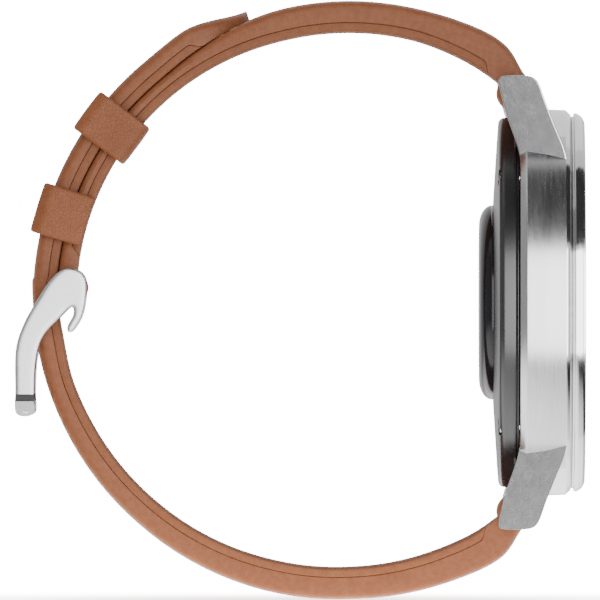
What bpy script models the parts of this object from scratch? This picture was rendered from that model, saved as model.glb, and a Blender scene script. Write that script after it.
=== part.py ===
"""Round smartwatch on a buckled leather strap.

+X is the way the dial faces, +Z points to 12 o'clock and +Y to 3 o'clock.  The origin is the centre
of the flat window on the back, where the wrist touches.  All sizes are in metres.
"""
import math

import bmesh
import bpy
from mathutils import Vector

MM = 0.001
DEG = math.pi / 180.0

# Fits between pieces
TOUCH_GAP = 0.3 * MM          # left between two pieces that rest on each other
SLIM_GAP = 0.2 * MM           # left between thin pieces that are nested
RUN_GAP = 0.1 * MM            # radial play of a stem in its tube

# Faceting of round pieces
RING_SIDES = 40
STEM_SIDES = 16
PIN_SIDES = 10

# Case middle
CASE_RADIUS = 21.95 * MM
CASE_BACK_X = 4.5 * MM
CASE_HEIGHT = 5.95 * MM
CASE_WALL = 3.05 * MM
CASE_FRONT_CHAMFER = 0.6 * MM
CASE_BACK_CHAMFER = 0.75 * MM
CASE_CROWNING = 0.17 * MM     # how far the side falls away towards its two edges
CASE_FLAT_FROM = 0.4          # share of the height where the flat of the side begins
CASE_FLAT_TO = 0.7            # and where it ends

# Lugs, in a side view: tip, thickness and where the outline leaves the case
LUG_TIP_OUT = 3.75 * MM       # lug tip beyond the case ring, in the side view
LUG_TIP_BACK_X = 2.05 * MM
LUG_TIP_DEPTH = 3.75 * MM
LUG_WIDTH = 3.6 * MM
LUG_ROOT_IN = 9.95 * MM       # lug root inside the case ring
LUG_MEETS_BACK = 8.4 * MM     # from the tip to where the lug meets the case's back face
LUG_MEETS_FRONT = 11.0 * MM   # from the tip to where it meets the case's front face
# (forward of the tip's back or front edge, in from the tip)
LUG_BACK_EDGE = (
    (1.6 * MM, 6.2 * MM), (0.8 * MM, 3.9 * MM), (0.0 * MM, 0.5 * MM), (0.3 * MM, 0.0 * MM),
)
LUG_FRONT_EDGE = (
    (0.0 * MM, 0.0 * MM), (0.9 * MM, 0.7 * MM), (1.7 * MM, 3.1 * MM), (2.8 * MM, 5.9 * MM),
    (3.8 * MM, 8.2 * MM),
)
LUG_SINK_BACK = 0.6 * MM      # lug root forward of the case's back face
LUG_SINK_FRONT = 0.3 * MM     # lug behind the case's front face
LUG_PROUD = 0.1 * MM          # lug root behind both faces' planes
BAR_X = 4.0 * MM              # spring bar, in the side view
BAR_TO_TIP = 1.9 * MM
BAR_HOLE_DEPTH = 1.4 * MM

# Bezel, glass and display
BEZEL_STEP = 0.45 * MM        # bezel smaller than the case ring
BEZEL_HEIGHT = 1.25 * MM
BEZEL_CHAMFER = 1.0 * MM
BEZEL_CHAMFER_SHARE = 0.7     # of the bezel's height
BEZEL_LIP = 0.4 * MM
INSERT_WIDTH = 2.2 * MM
INSERT_DEPTH = 0.7 * MM
GLASS_THICKNESS = 1.4 * MM
SHELF_WIDTH = 1.3 * MM
SHELF_DEPTH = 0.4 * MM
SEAL_THICKNESS = 0.2 * MM
DISPLAY_THICKNESS = 0.8 * MM
ANTENNA_WIDTH = 1.4 * MM
ANTENNA_THICKNESS = 0.3 * MM
FLEX_WIDTH = 6.0 * MM
FLEX_THICKNESS = 0.2 * MM
FLEX_ON_DISPLAY = 5.0 * MM

# Back cover, window and what lies on them
COVER_STEP = 0.95 * MM        # back cover smaller than the case ring
COVER_RIM_BACK_X = 2.2 * MM
COVER_EDGE_ROUND = 0.4 * MM
COVER_FLOOR = 1.2 * MM
COVER_SPIGOT = 0.8 * MM
COVER_SPIGOT_HEIGHT = 1.0 * MM
WINDOW_RADIUS = 11.1 * MM
WINDOW_PROUD = 1.6 * MM
WINDOW_ROUND_DEPTH = 1.5 * MM
WINDOW_ROUND_WIDTH = 2.4 * MM
WINDOW_FLANGE = 1.3 * MM
WINDOW_FLANGE_THICKNESS = 0.5 * MM
BACK_SEAL_WIDTH = 0.5 * MM
SENSOR_BOARD_THICKNESS = 0.6 * MM
COIL_WIDTH = 3.6 * MM
COIL_THICKNESS = 0.6 * MM
SCREW_COUNT = 4
SCREW_FROM_BORE = 1.0 * MM
SCREW_RADIUS = 0.4 * MM
SCREW_HEAD_RADIUS = 0.75 * MM
SCREW_HEAD_HEIGHT = 0.6 * MM
SCREW_LENGTH = 4.0 * MM

# Inner frame and the electronics behind it
FRAME_WALL = 0.7 * MM
FRAME_FLOOR = 0.3 * MM
BATTERY_SIZE = (2.7 * MM, 18.0 * MM, 13.0 * MM)
BATTERY_CENTRE = (-4.5 * MM, -4.5 * MM)
BATTERY_EDGE = 0.5 * MM
BOARD_THICKNESS = 0.7 * MM
BOARD_SIZE = (19.0 * MM, 9.0 * MM)
BOARD_CENTRE = (-2.0 * MM, 8.3 * MM)
SHIELD_SIZE = (1.2 * MM, 12.0 * MM, 8.0 * MM)
SHIELD_EDGE = 0.2 * MM
MOTOR_RADIUS = 3.4 * MM
MOTOR_THICKNESS = 2.5 * MM
MOTOR_CENTRE = (8.4 * MM, -8.5 * MM)

# Crown and button: axis height in the case side and angle above 3 o'clock
PUSHER_X = 7.2 * MM
PUSHER_STEM_RADIUS = 0.8 * MM
PUSHER_TUBE_WALL = 0.6 * MM
PUSHER_TRAVEL = 0.5 * MM
PUSHER_CLIP_RADIUS = 1.3 * MM
PUSHER_CLIP_THICKNESS = 0.5 * MM
PUSHER_STEM_IN = 1.0 * MM     # stem inside the case's bore
PUSHER_SEAL_DEPTH = 1.1 * MM
PUSHER_SEAT_SHARE = 0.4       # of the sleeve's wall, taken by the seal's seat
PUSHER_RECESS_SHARE = 0.5     # of the head's height, hollow for the sleeve and spring
PUSHER_EDGE_SHARE = 0.12      # of the head's radius
SPRING_WIRE = 0.22 * MM
SPRING_TURNS = 3
SPRING_STEPS = 10             # straight pieces of wire a turn
CROWN_ANGLE = 30.0 * DEG
CROWN_RADIUS = 3.1 * MM
CROWN_HEIGHT = 2.9 * MM
BUTTON_ANGLE = -30.0 * DEG
BUTTON_RADIUS = 2.7 * MM
BUTTON_HEIGHT = 2.0 * MM
SWITCH_SIZE = (2.2 * MM, 2.6 * MM, 0.9 * MM)

# Strap
STRAP_WIDTH = 22.0 * MM
STRAP_END_WIDTH = 20.0 * MM
STRAP_SIDE_GAP = 0.2 * MM
LOOP_RADIUS = 30.2 * MM       # wrist side of the buckled loop
LOOP_CENTRE_Z = 0.3 * MM
BAR_FROM_LOOP = 0.6 * MM      # lug bars lie this far outside the loop's wrist side
LINING_THICKNESS = 1.0 * MM
LAYER_GAP = 0.15 * MM
TAIL_GAP = 0.25 * MM          # between the two strap halves where they lie together
LUG_EYE_RADIUS = 1.95 * MM
BUCKLE_EYE_RADIUS = 1.55 * MM
# (angle round the loop in degrees, lift off the loop's wrist side, thickness)
UPPER_STATIONS = (
    (51.5, 0.1 * MM, 2.5 * MM),
    (55.5, 0.2 * MM, 3.9 * MM),
    (60.0, 0.3 * MM, 4.15 * MM),
    (74.0, 0.4 * MM, 3.6 * MM),
    (88.0, 0.2 * MM, 3.6 * MM),
    (103.0, 0.0 * MM, 3.55 * MM),
    (128.0, 0.0 * MM, 2.4 * MM),
    (177.5, 0.0 * MM, 2.4 * MM),
)
LOWER_STATIONS = (
    (180.0, 2.4 * MM, 2.55 * MM),
    (190.0, 1.95 * MM, 2.85 * MM),
    (205.0, 1.5 * MM, 3.05 * MM),
    (228.0, 0.95 * MM, 3.25 * MM),
    (255.0, 0.4 * MM, 3.6 * MM),
    (272.0, 0.2 * MM, 3.6 * MM),
    (292.0, 0.2 * MM, 3.95 * MM),
    (300.0, 0.3 * MM, 4.1 * MM),
    (304.0, 0.2 * MM, 3.9 * MM),
    (308.0, 0.1 * MM, 2.6 * MM),
)
TAPER_END = 118.0             # degrees from the dial to where the strap has its buckle width
TAIL_TIP_ANGLE = 108.3
TAIL_TIP_LENGTH = 13.0        # degrees over which the tail narrows and thins
TAIL_TIP_THICKNESS = 1.0 * MM
TAIL_TIP_HALF_WIDTH = 2.5 * MM
TAIL_THICKNESS = 2.5 * MM
TAIL_OVER_BUCKLE = 176.0      # degrees where the tail leaves the upper half
STRAP_STEP = 3.0              # degrees between sections
HOLE_COUNT = 7
HOLE_PITCH = 10.5             # degrees between the holes in the tail
HOLE_USED = 3
HOLE_WIDTH = 2.2 * MM
HOLE_LENGTH = 4.0 * MM
LINING_START = 9.0            # degrees of single, folded leather at each strap end
SPLIT_BEFORE = 4.0            # degrees before the lining's end where the outer leather starts to thicken
SPLIT_LENGTH = 3.0            # degrees over which it does

# Keepers
KEEPER_WALL = 0.75 * MM
KEEPER_PLAY = 0.2 * MM
KEEPER_EDGE = 0.35 * MM
FREE_KEEPER_ANGLE = 143.3
FREE_KEEPER_LENGTH = 5.2 * MM
FIXED_KEEPER_ANGLE = 163.0
FIXED_KEEPER_LENGTH = 5.8 * MM

# Buckle
BUCKLE_BAR_ANGLE = 177.4
BUCKLE_BAR_LIFT = 0.25 * MM   # bar axis outside the loop's wrist side
BUCKLE_BAR_RADIUS = 0.7 * MM
ARM_THICKNESS = 1.6 * MM
CROSSBAR_RADIUS = 1.05 * MM
CROSSBAR_AT = (-5.5 * MM, -13.3 * MM)
# Side arm outline measured from the bar: ear, wrist-side guide, then down the arm and back
ARM_OUTLINE = (
    (-1.1, 2.15), (0.5, 2.0), (1.35, 0.9), (1.35, -1.2), (0.85, -3.4), (-0.35, -5.15),
    (-0.75, -4.5), (0.0, -3.0), (-0.2, -2.1), (-1.6, -3.4), (-3.5, -5.6), (-4.25, -8.2), (-4.45, -12.0),
    (-4.5, -14.3), (-6.5, -14.3), (-6.6, -11.5), (-6.55, -7.0), (-5.6, -4.0), (-4.0, -1.2),
    (-2.6, 0.9),
)
TANG_HALF_WIDTH = 0.8 * MM
TANG_RADIUS = 0.5 * MM
TANG_EYE_RADIUS = 1.5 * MM
TANG_PATH = (
    (-0.8, -1.0), (-1.7, -1.7), (-3.3, -3.0), (-4.8, -4.7), (-5.6, -6.9), (-6.0, -9.6), (-6.1, -13.9),
)

# Quick-release bars
BAR_RADIUS = 0.8 * MM
BAR_BORE = 0.55 * MM
BAR_TIP_RADIUS = 0.42 * MM
BAR_END_GAP = 0.9 * MM        # tube end to lug face
BAR_TIP_IN_LUG = 1.0 * MM
BAR_TRAVEL = 1.4 * MM
BAR_END_FLOOR = 1.0 * MM
BAR_SPRING_WIRE = 0.1 * MM    # radius
BAR_SPRING_TURNS = 8
LEVER_FROM_END = 2.6 * MM
LEVER_LENGTH = 0.9 * MM
LEVER_REACH = 2.6 * MM
LEVER_SHARE = 0.45            # lever's thickness, as a share of the tube's bore across
SLOT_SHARE = 0.75             # slot's width, likewise
SLIDER_TAIL = 1.2 * MM

FINISHES = {
    "polished_steel": ((0.80, 0.80, 0.79), 1.0, 0.10),
    "brushed_steel": ((0.62, 0.62, 0.61), 1.0, 0.32),
    "spring_steel": ((0.55, 0.55, 0.56), 1.0, 0.30),
    "black_ceramic": ((0.012, 0.012, 0.013), 0.0, 0.12),
    "black_gloss": ((0.010, 0.010, 0.011), 0.0, 0.10),
    "glass": ((0.02, 0.02, 0.025), 0.0, 0.03),
    "black_plastic": ((0.03, 0.03, 0.03), 0.0, 0.50),
    "black_rubber": ((0.02, 0.02, 0.02), 0.0, 0.80),
    "circuit_board": ((0.01, 0.09, 0.05), 0.0, 0.45),
    "copper": ((0.80, 0.36, 0.18), 1.0, 0.30),
    "foil": ((0.70, 0.70, 0.72), 1.0, 0.35),
    "tan_leather": ((0.38, 0.14, 0.06), 0.0, 0.55),
    "tan_lining": ((0.45, 0.20, 0.10), 0.0, 0.70),
}

# Lengths that follow from the ones above
CASE_FRONT_X = CASE_BACK_X + CASE_HEIGHT
CASE_BORE = CASE_RADIUS - CASE_WALL
LUG_TIP_Z = CASE_RADIUS + LUG_TIP_OUT
LUG_ROOT_Z = CASE_RADIUS - LUG_ROOT_IN
BEZEL_RADIUS = CASE_RADIUS - BEZEL_STEP
COVER_RIM_RADIUS = CASE_RADIUS - COVER_STEP
BAR_Z = LUG_TIP_Z - BAR_TO_TIP
BEZEL_BACK_X = CASE_FRONT_X + TOUCH_GAP
FRONT_X = BEZEL_BACK_X + BEZEL_HEIGHT
INNER_RADIUS = CASE_BORE - TOUCH_GAP
INSERT_OUTER = BEZEL_RADIUS - BEZEL_CHAMFER - BEZEL_LIP - SLIM_GAP
INSERT_INNER = INSERT_OUTER - INSERT_WIDTH
GLASS_RADIUS = INSERT_INNER - SLIM_GAP
GLASS_BACK_X = FRONT_X - GLASS_THICKNESS
SHELF_RADIUS = GLASS_RADIUS - SHELF_WIDTH + 2 * SLIM_GAP
SHELF_X = GLASS_BACK_X - SEAL_THICKNESS - TOUCH_GAP
SPIGOT_X = SHELF_X - SHELF_DEPTH
DISPLAY_RADIUS = SHELF_RADIUS - TOUCH_GAP
DISPLAY_BACK_X = GLASS_BACK_X - TOUCH_GAP - DISPLAY_THICKNESS
FRAME_FRONT_X = SPIGOT_X - ANTENNA_THICKNESS - 2 * SLIM_GAP
FRAME_UNDER_X = FRAME_FRONT_X - FRAME_FLOOR
COVER_FRONT_X = CASE_BACK_X - TOUCH_GAP
COVER_INNER_X = WINDOW_PROUD + COVER_FLOOR
FRAME_BACK_X = COVER_FRONT_X + COVER_SPIGOT_HEIGHT + SLIM_GAP
SCREW_CIRCLE = CASE_BORE + SCREW_FROM_BORE
LUG_GAP = STRAP_WIDTH + 2 * STRAP_SIDE_GAP
LOOP_CENTRE_X = BAR_X - math.sqrt((LOOP_RADIUS + BAR_FROM_LOOP) ** 2 - BAR_Z ** 2)


def clear_scene():
    """Remove every object that the file starts with."""
    for obj in list(bpy.data.objects):
        bpy.data.objects.remove(obj, do_unlink=True)


def new_collection(name):
    """Make a collection under the scene's own."""
    group = bpy.data.collections.new(name)
    bpy.context.scene.collection.children.link(group)
    return group


clear_scene()
PARTS = new_collection("smartwatch")
CUTTERS = new_collection("cutters")


def paint(obj, finish):
    """Give an object its own Principled material."""
    colour, metallic, roughness = FINISHES[finish]
    mat = bpy.data.materials.new(obj.name)
    mat.use_nodes = True
    shader = mat.node_tree.nodes["Principled BSDF"]
    shader.inputs["Base Color"].default_value = (*colour, 1.0)
    shader.inputs["Metallic"].default_value = metallic
    shader.inputs["Roughness"].default_value = roughness
    mat.diffuse_color = (*colour, 1.0)
    obj.data.materials.clear()
    obj.data.materials.append(mat)


def add_part(name, mesh, finish):
    """Put a mesh in the scene as one named part."""
    obj = bpy.data.objects.new(name, mesh)
    mesh.name = name
    mesh.shade_smooth()
    mesh.set_sharp_from_angle(angle=30.0 * DEG)
    PARTS.objects.link(obj)
    paint(obj, finish)
    return obj


def add_cutter(name, mesh):
    """Put a mesh in the scene as a tool for Boolean modifiers."""
    obj = bpy.data.objects.new(name, mesh)
    obj.hide_render = True
    obj.display_type = "WIRE"
    CUTTERS.objects.link(obj)
    return obj


def combine(obj, other, operation):
    """Join or cut a part with another object."""
    mod = obj.modifiers.new(operation.title(), "BOOLEAN")
    mod.operation = operation
    mod.solver = "EXACT"
    mod.object = other


def turned_mesh(profile, sides, closed):
    """Outline of a turned shape: (radius, height) pairs that run down the outer side."""
    mesh = bpy.data.meshes.new("profile")
    verts = [(radius, 0.0, height) for radius, height in profile]
    edges = [(i, i + 1) for i in range(len(verts) - 1)]
    if closed:
        edges.append((len(verts) - 1, 0))
    mesh.from_pydata(verts, edges, [])
    holder = bpy.data.objects.new("profile", mesh)
    bpy.context.scene.collection.objects.link(holder)
    mod = holder.modifiers.new("Screw", "SCREW")
    mod.steps = sides
    mod.render_steps = sides
    mod.use_merge_vertices = True
    mod.merge_threshold = 0.00001
    bpy.context.view_layer.update()
    done = bpy.data.meshes.new_from_object(holder.evaluated_get(bpy.context.evaluated_depsgraph_get()))
    bpy.data.objects.remove(holder, do_unlink=True)
    return done


def dial_turned(name, profile, finish, closed=True, sides=RING_SIDES):
    """Part turned about the dial's axis, with heights measured along +X."""
    obj = add_part(name, turned_mesh(profile, sides, closed), finish)
    obj.rotation_euler = (0.0, 90.0 * DEG, 0.0)
    return obj


def radial_turned(name, profile, finish, angle, closed=True, sides=STEM_SIDES):
    """Part turned about a pusher's axis, with heights measured out from the dial's axis."""
    obj = add_part(name, turned_mesh(profile, sides, closed), finish)
    obj.location = (PUSHER_X, 0.0, 0.0)
    obj.rotation_euler = (angle - 90.0 * DEG, 0.0, 0.0)
    return obj


def tube_profile(inner, outer, low, high):
    """Profile of a plain ring or tube."""
    return [(outer, high), (outer, low), (inner, low), (inner, high)]


def disc_profile(radius, low, high, edge=0.0):
    """Profile of a solid disc, with its rims broken by an edge."""
    if edge == 0.0:
        return [(0.0, high), (radius, high), (radius, low), (0.0, low)]
    return [
        (0.0, high), (radius - edge, high), (radius, high - edge),
        (radius, low + edge), (radius - edge, low), (0.0, low),
    ]


def cylinder_mesh(radius, length, sides):
    """Upright cylinder centred on the origin."""
    mesh = bpy.data.meshes.new("cylinder")
    bm = bmesh.new()
    bmesh.ops.create_cone(
        bm, cap_ends=True, segments=sides, radius1=radius, radius2=radius, depth=length)
    bm.to_mesh(mesh)
    bm.free()
    return mesh


def box_mesh(size, edge=0.0):
    """Box centred on the origin, with its edges bevelled."""
    mesh = bpy.data.meshes.new("box")
    bm = bmesh.new()
    bmesh.ops.create_cube(bm, size=1.0)
    bmesh.ops.scale(bm, vec=Vector(size), verts=bm.verts)
    if edge > 0.0:
        bmesh.ops.bevel(bm, geom=bm.edges[:], offset=edge, segments=1, affect="EDGES")
    bm.to_mesh(mesh)
    bm.free()
    return mesh


def across(obj, x, z, y=0.0):
    """Lay an upright piece along Y, at a place in the side view."""
    obj.location = (x, y, z)
    obj.rotation_euler = (90.0 * DEG, 0.0, 0.0)
    return obj


def curve_to_mesh(curve):
    """Plain welded mesh of a curve."""
    holder = bpy.data.objects.new("curve", curve)
    bpy.context.scene.collection.objects.link(holder)
    bpy.context.view_layer.update()
    mesh = bpy.data.meshes.new_from_object(holder.evaluated_get(bpy.context.evaluated_depsgraph_get()))
    bpy.data.objects.remove(holder, do_unlink=True)
    bm = bmesh.new()
    bm.from_mesh(mesh)
    bmesh.ops.remove_doubles(bm, verts=bm.verts, dist=0.000001)
    bmesh.ops.recalc_face_normals(bm, faces=bm.faces)
    bm.to_mesh(mesh)
    bm.free()
    return mesh


def side_outline_mesh(points, half_width):
    """Plate whose outline is drawn in the side view (X, Z) and which is centred on Y."""
    curve = bpy.data.curves.new("outline", "CURVE")
    curve.dimensions = "2D"
    curve.fill_mode = "BOTH"
    curve.extrude = half_width
    spline = curve.splines.new("POLY")
    spline.points.add(len(points) - 1)
    for point, (x, z) in zip(spline.points, points):
        point.co = (x, z, 0.0, 1.0)
    spline.use_cyclic_u = True
    mesh = curve_to_mesh(curve)
    for vert in mesh.vertices:
        x, z, depth = vert.co
        vert.co = (x, -depth, z)
    return mesh


def rod_mesh(points, radius):
    """Round rod through points in space."""
    curve = bpy.data.curves.new("rod", "CURVE")
    curve.dimensions = "3D"
    curve.bevel_depth = radius
    curve.bevel_resolution = 2
    curve.use_fill_caps = True
    spline = curve.splines.new("POLY")
    spline.points.add(len(points) - 1)
    for point, place in zip(spline.points, points):
        point.co = (*place, 1.0)
    return curve_to_mesh(curve)


def smooth_loop(points, steps):
    """Closed outline drawn smoothly through a few points."""
    count = len(points)
    result = []
    for i in range(count):
        before, start, end, after = (Vector(points[(i + k) % count]) for k in (-1, 0, 1, 2))
        for step in range(steps):
            t = step / steps
            result.append(0.5 * (
                2.0 * start + (end - before) * t
                + (2.0 * before - 5.0 * start + 4.0 * end - after) * t ** 2
                + (3.0 * start - before - 3.0 * end + after) * t ** 3))
    return result


def ease(t):
    """Smooth step from 0 to 1."""
    t = min(1.0, max(0.0, t))
    return t * t * (3.0 - 2.0 * t)


# ---------------------------------------------------------------- case, bezel, glass, display


def lug_outline(side):
    """Side view of a lug: from its root on the wrist side to the tip and back along the front."""
    front = LUG_TIP_BACK_X + LUG_TIP_DEPTH
    points = [
        (CASE_BACK_X + LUG_SINK_BACK, LUG_ROOT_Z),
        (CASE_BACK_X - LUG_PROUD, LUG_TIP_Z - LUG_MEETS_BACK),
    ]
    points += [(LUG_TIP_BACK_X + x, LUG_TIP_Z - z) for x, z in LUG_BACK_EDGE]
    points += [(front + x, LUG_TIP_Z - z) for x, z in LUG_FRONT_EDGE]
    points += [
        (CASE_FRONT_X - LUG_SINK_FRONT, LUG_TIP_Z - LUG_MEETS_FRONT),
        (CASE_FRONT_X - LUG_PROUD, LUG_ROOT_Z),
    ]
    return [(x, side * z) for x, z in points]


def pusher_axis(angle):
    """Unit vector out along a pusher's axis."""
    return Vector((0.0, math.cos(angle), math.sin(angle)))


def make_mid_case():
    """Turned ring with four lugs, bored for the module, the bars, the screws and the pushers."""
    waist = CASE_RADIUS - CASE_CROWNING
    profile = [
        (CASE_RADIUS - CASE_FRONT_CHAMFER - CASE_CROWNING, CASE_FRONT_X),
        (waist, CASE_FRONT_X - CASE_FRONT_CHAMFER),
        (CASE_RADIUS, CASE_BACK_X + CASE_FLAT_TO * CASE_HEIGHT),
        (CASE_RADIUS, CASE_BACK_X + CASE_FLAT_FROM * CASE_HEIGHT),
        (waist, CASE_BACK_X + CASE_BACK_CHAMFER),
        (waist - CASE_BACK_CHAMFER, CASE_BACK_X),
        (CASE_BORE - SLIM_GAP, CASE_BACK_X),
        (CASE_BORE - SLIM_GAP, CASE_FRONT_X),
    ]
    case = dial_turned("mid_case", profile, "brushed_steel")
    for side in (1, -1):
        for hand in (1, -1):
            name = "lug_%s_%s" % ("12" if side > 0 else "6", "right" if hand > 0 else "left")
            lug = add_cutter(name, side_outline_mesh(lug_outline(side), LUG_WIDTH / 2))
            lug.location = (0.0, hand * (LUG_GAP + LUG_WIDTH) / 2, 0.0)
            combine(case, lug, "UNION")
    bore = add_cutter("module_bore", cylinder_mesh(CASE_BORE, 4 * CASE_HEIGHT, RING_SIDES))
    bore.location = (CASE_BACK_X + CASE_HEIGHT / 2, 0.0, 0.0)
    bore.rotation_euler = (0.0, 90.0 * DEG, 0.0)
    combine(case, bore, "DIFFERENCE")
    relief_back = CASE_BACK_X - CASE_HEIGHT
    relief = add_cutter("cover_relief", cylinder_mesh(
        COVER_RIM_RADIUS + TOUCH_GAP, CASE_HEIGHT + RUN_GAP / 2, RING_SIDES))
    relief.location = ((relief_back + CASE_BACK_X + RUN_GAP / 2) / 2, 0.0, 0.0)
    relief.rotation_euler = (0.0, 90.0 * DEG, 0.0)
    combine(case, relief, "DIFFERENCE")
    for side in (1, -1):
        hole = add_cutter("bar_hole_%d" % side, cylinder_mesh(
            BAR_TIP_RADIUS + SLIM_GAP, LUG_GAP + 2 * BAR_HOLE_DEPTH, PIN_SIDES))
        across(hole, BAR_X, side * BAR_Z)
        combine(case, hole, "DIFFERENCE")
    for i, (y, z) in enumerate(screw_places()):
        hole = add_cutter("screw_thread_%d" % i, cylinder_mesh(
            SCREW_RADIUS + RUN_GAP, 2 * (SCREW_LENGTH - SCREW_HEAD_HEIGHT), PIN_SIDES))
        hole.location = (CASE_BACK_X, y, z)
        hole.rotation_euler = (0.0, 90.0 * DEG, 0.0)
        combine(case, hole, "DIFFERENCE")
    for name, angle in (("crown", CROWN_ANGLE), ("button", BUTTON_ANGLE)):
        hole = add_cutter(name + "_bore", cylinder_mesh(
            tube_outer() + RUN_GAP, CASE_RADIUS, STEM_SIDES))
        hole.location = Vector((PUSHER_X, 0.0, 0.0)) + pusher_axis(angle) * CASE_RADIUS
        hole.rotation_euler = (angle - 90.0 * DEG, 0.0, 0.0)
        combine(case, hole, "DIFFERENCE")


def make_bezel_ring():
    """Polished ring that clamps the glass: chamfered outside, stepped inside."""
    profile = [
        (BEZEL_RADIUS - BEZEL_CHAMFER, FRONT_X),
        (BEZEL_RADIUS, FRONT_X - BEZEL_CHAMFER_SHARE * BEZEL_HEIGHT),
        (BEZEL_RADIUS, BEZEL_BACK_X),
        (INNER_RADIUS, BEZEL_BACK_X),
        (INNER_RADIUS, SPIGOT_X),
        (SHELF_RADIUS, SPIGOT_X),
        (SHELF_RADIUS, SHELF_X),
        (GLASS_RADIUS + 2 * SLIM_GAP, SHELF_X),
        (GLASS_RADIUS + 2 * SLIM_GAP, FRONT_X - INSERT_DEPTH - TOUCH_GAP),
        (INSERT_OUTER + SLIM_GAP, FRONT_X - INSERT_DEPTH - TOUCH_GAP),
        (INSERT_OUTER + SLIM_GAP, FRONT_X),
    ]
    dial_turned("bezel_ring", profile, "polished_steel")


def make_front():
    """Insert ring, glass, seal, display, its flat cable and the antenna."""
    insert_front = FRONT_X - RUN_GAP
    dial_turned("bezel_insert", tube_profile(
        INSERT_INNER, INSERT_OUTER, FRONT_X - INSERT_DEPTH, insert_front), "black_ceramic")
    dial_turned("cover_glass", disc_profile(
        GLASS_RADIUS, GLASS_BACK_X, FRONT_X, RUN_GAP), "glass", closed=False)
    seal_low = SHELF_X + TOUCH_GAP / 2
    dial_turned("glass_seal", tube_profile(
        SHELF_RADIUS + SLIM_GAP, GLASS_RADIUS, seal_low, seal_low + SEAL_THICKNESS), "black_rubber")
    dial_turned("display_panel", disc_profile(
        DISPLAY_RADIUS, DISPLAY_BACK_X, DISPLAY_BACK_X + DISPLAY_THICKNESS), "black_gloss", closed=False)
    antenna_x = FRAME_FRONT_X + SLIM_GAP
    dial_turned("antenna_ring", tube_profile(
        INNER_RADIUS - SLIM_GAP - ANTENNA_WIDTH, INNER_RADIUS - SLIM_GAP,
        antenna_x, antenna_x + ANTENNA_THICKNESS), "copper")
    make_display_flex()


def flex_z():
    """Where the flat cable passes the inner frame, just past the edge of the main board."""
    return BOARD_CENTRE[1] + BOARD_SIZE[1] / 2 + TOUCH_GAP


def make_display_flex():
    """Flat cable: it leaves the back of the display and turns down beside the main board."""
    top = DISPLAY_BACK_X - SLIM_GAP
    z = flex_z()
    outline = [
        (top, z - FLEX_ON_DISPLAY), (top, z + FLEX_THICKNESS),
        (FRAME_UNDER_X - BOARD_THICKNESS, z + FLEX_THICKNESS), (FRAME_UNDER_X - BOARD_THICKNESS, z),
        (top - FLEX_THICKNESS, z), (top - FLEX_THICKNESS, z - FLEX_ON_DISPLAY),
    ]
    add_part("display_flex", side_outline_mesh(outline, FLEX_WIDTH / 2), "copper")


# ---------------------------------------------------------------- back


def screw_places():
    """Centres of the back screws, between the lugs and the pushers."""
    step = 360.0 * DEG / SCREW_COUNT
    return [
        (SCREW_CIRCLE * math.cos(step * (i + 0.5)), SCREW_CIRCLE * math.sin(step * (i + 0.5)))
        for i in range(SCREW_COUNT)
    ]


def make_back_cover():
    """Dished cover with a spigot into the case, a hole for the window and seats for the screws."""
    spigot = INNER_RADIUS - BACK_SEAL_WIDTH - SLIM_GAP
    profile = [
        (spigot, COVER_FRONT_X + COVER_SPIGOT_HEIGHT),
        (spigot, COVER_FRONT_X),
        (COVER_RIM_RADIUS - COVER_EDGE_ROUND, COVER_FRONT_X),
        (COVER_RIM_RADIUS, COVER_FRONT_X - COVER_EDGE_ROUND),
        (COVER_RIM_RADIUS, COVER_RIM_BACK_X + COVER_EDGE_ROUND),
        (COVER_RIM_RADIUS - COVER_EDGE_ROUND, COVER_RIM_BACK_X),
        (WINDOW_RADIUS + TOUCH_GAP, WINDOW_PROUD),
        (WINDOW_RADIUS + TOUCH_GAP, COVER_INNER_X),
        (spigot - COVER_SPIGOT, COVER_INNER_X),
        (spigot - COVER_SPIGOT, COVER_FRONT_X + COVER_SPIGOT_HEIGHT),
    ]
    cover = dial_turned("back_cover", profile, "black_gloss")
    for i, (y, z) in enumerate(screw_places()):
        shank = add_cutter("cover_hole_%d" % i, cylinder_mesh(
            SCREW_RADIUS + SLIM_GAP, 4 * COVER_FLOOR, PIN_SIDES))
        seat = add_cutter("cover_seat_%d" % i, cylinder_mesh(
            SCREW_HEAD_RADIUS + SLIM_GAP, 2 * (SCREW_HEAD_HEIGHT + 2 * SLIM_GAP), PIN_SIDES))
        shank.location = (COVER_FRONT_X - COVER_FLOOR, y, z)
        seat.location = (COVER_RIM_BACK_X, y, z)
        for cutter in (shank, seat):
            cutter.rotation_euler = (0.0, 90.0 * DEG, 0.0)
            combine(cover, cutter, "DIFFERENCE")


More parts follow.
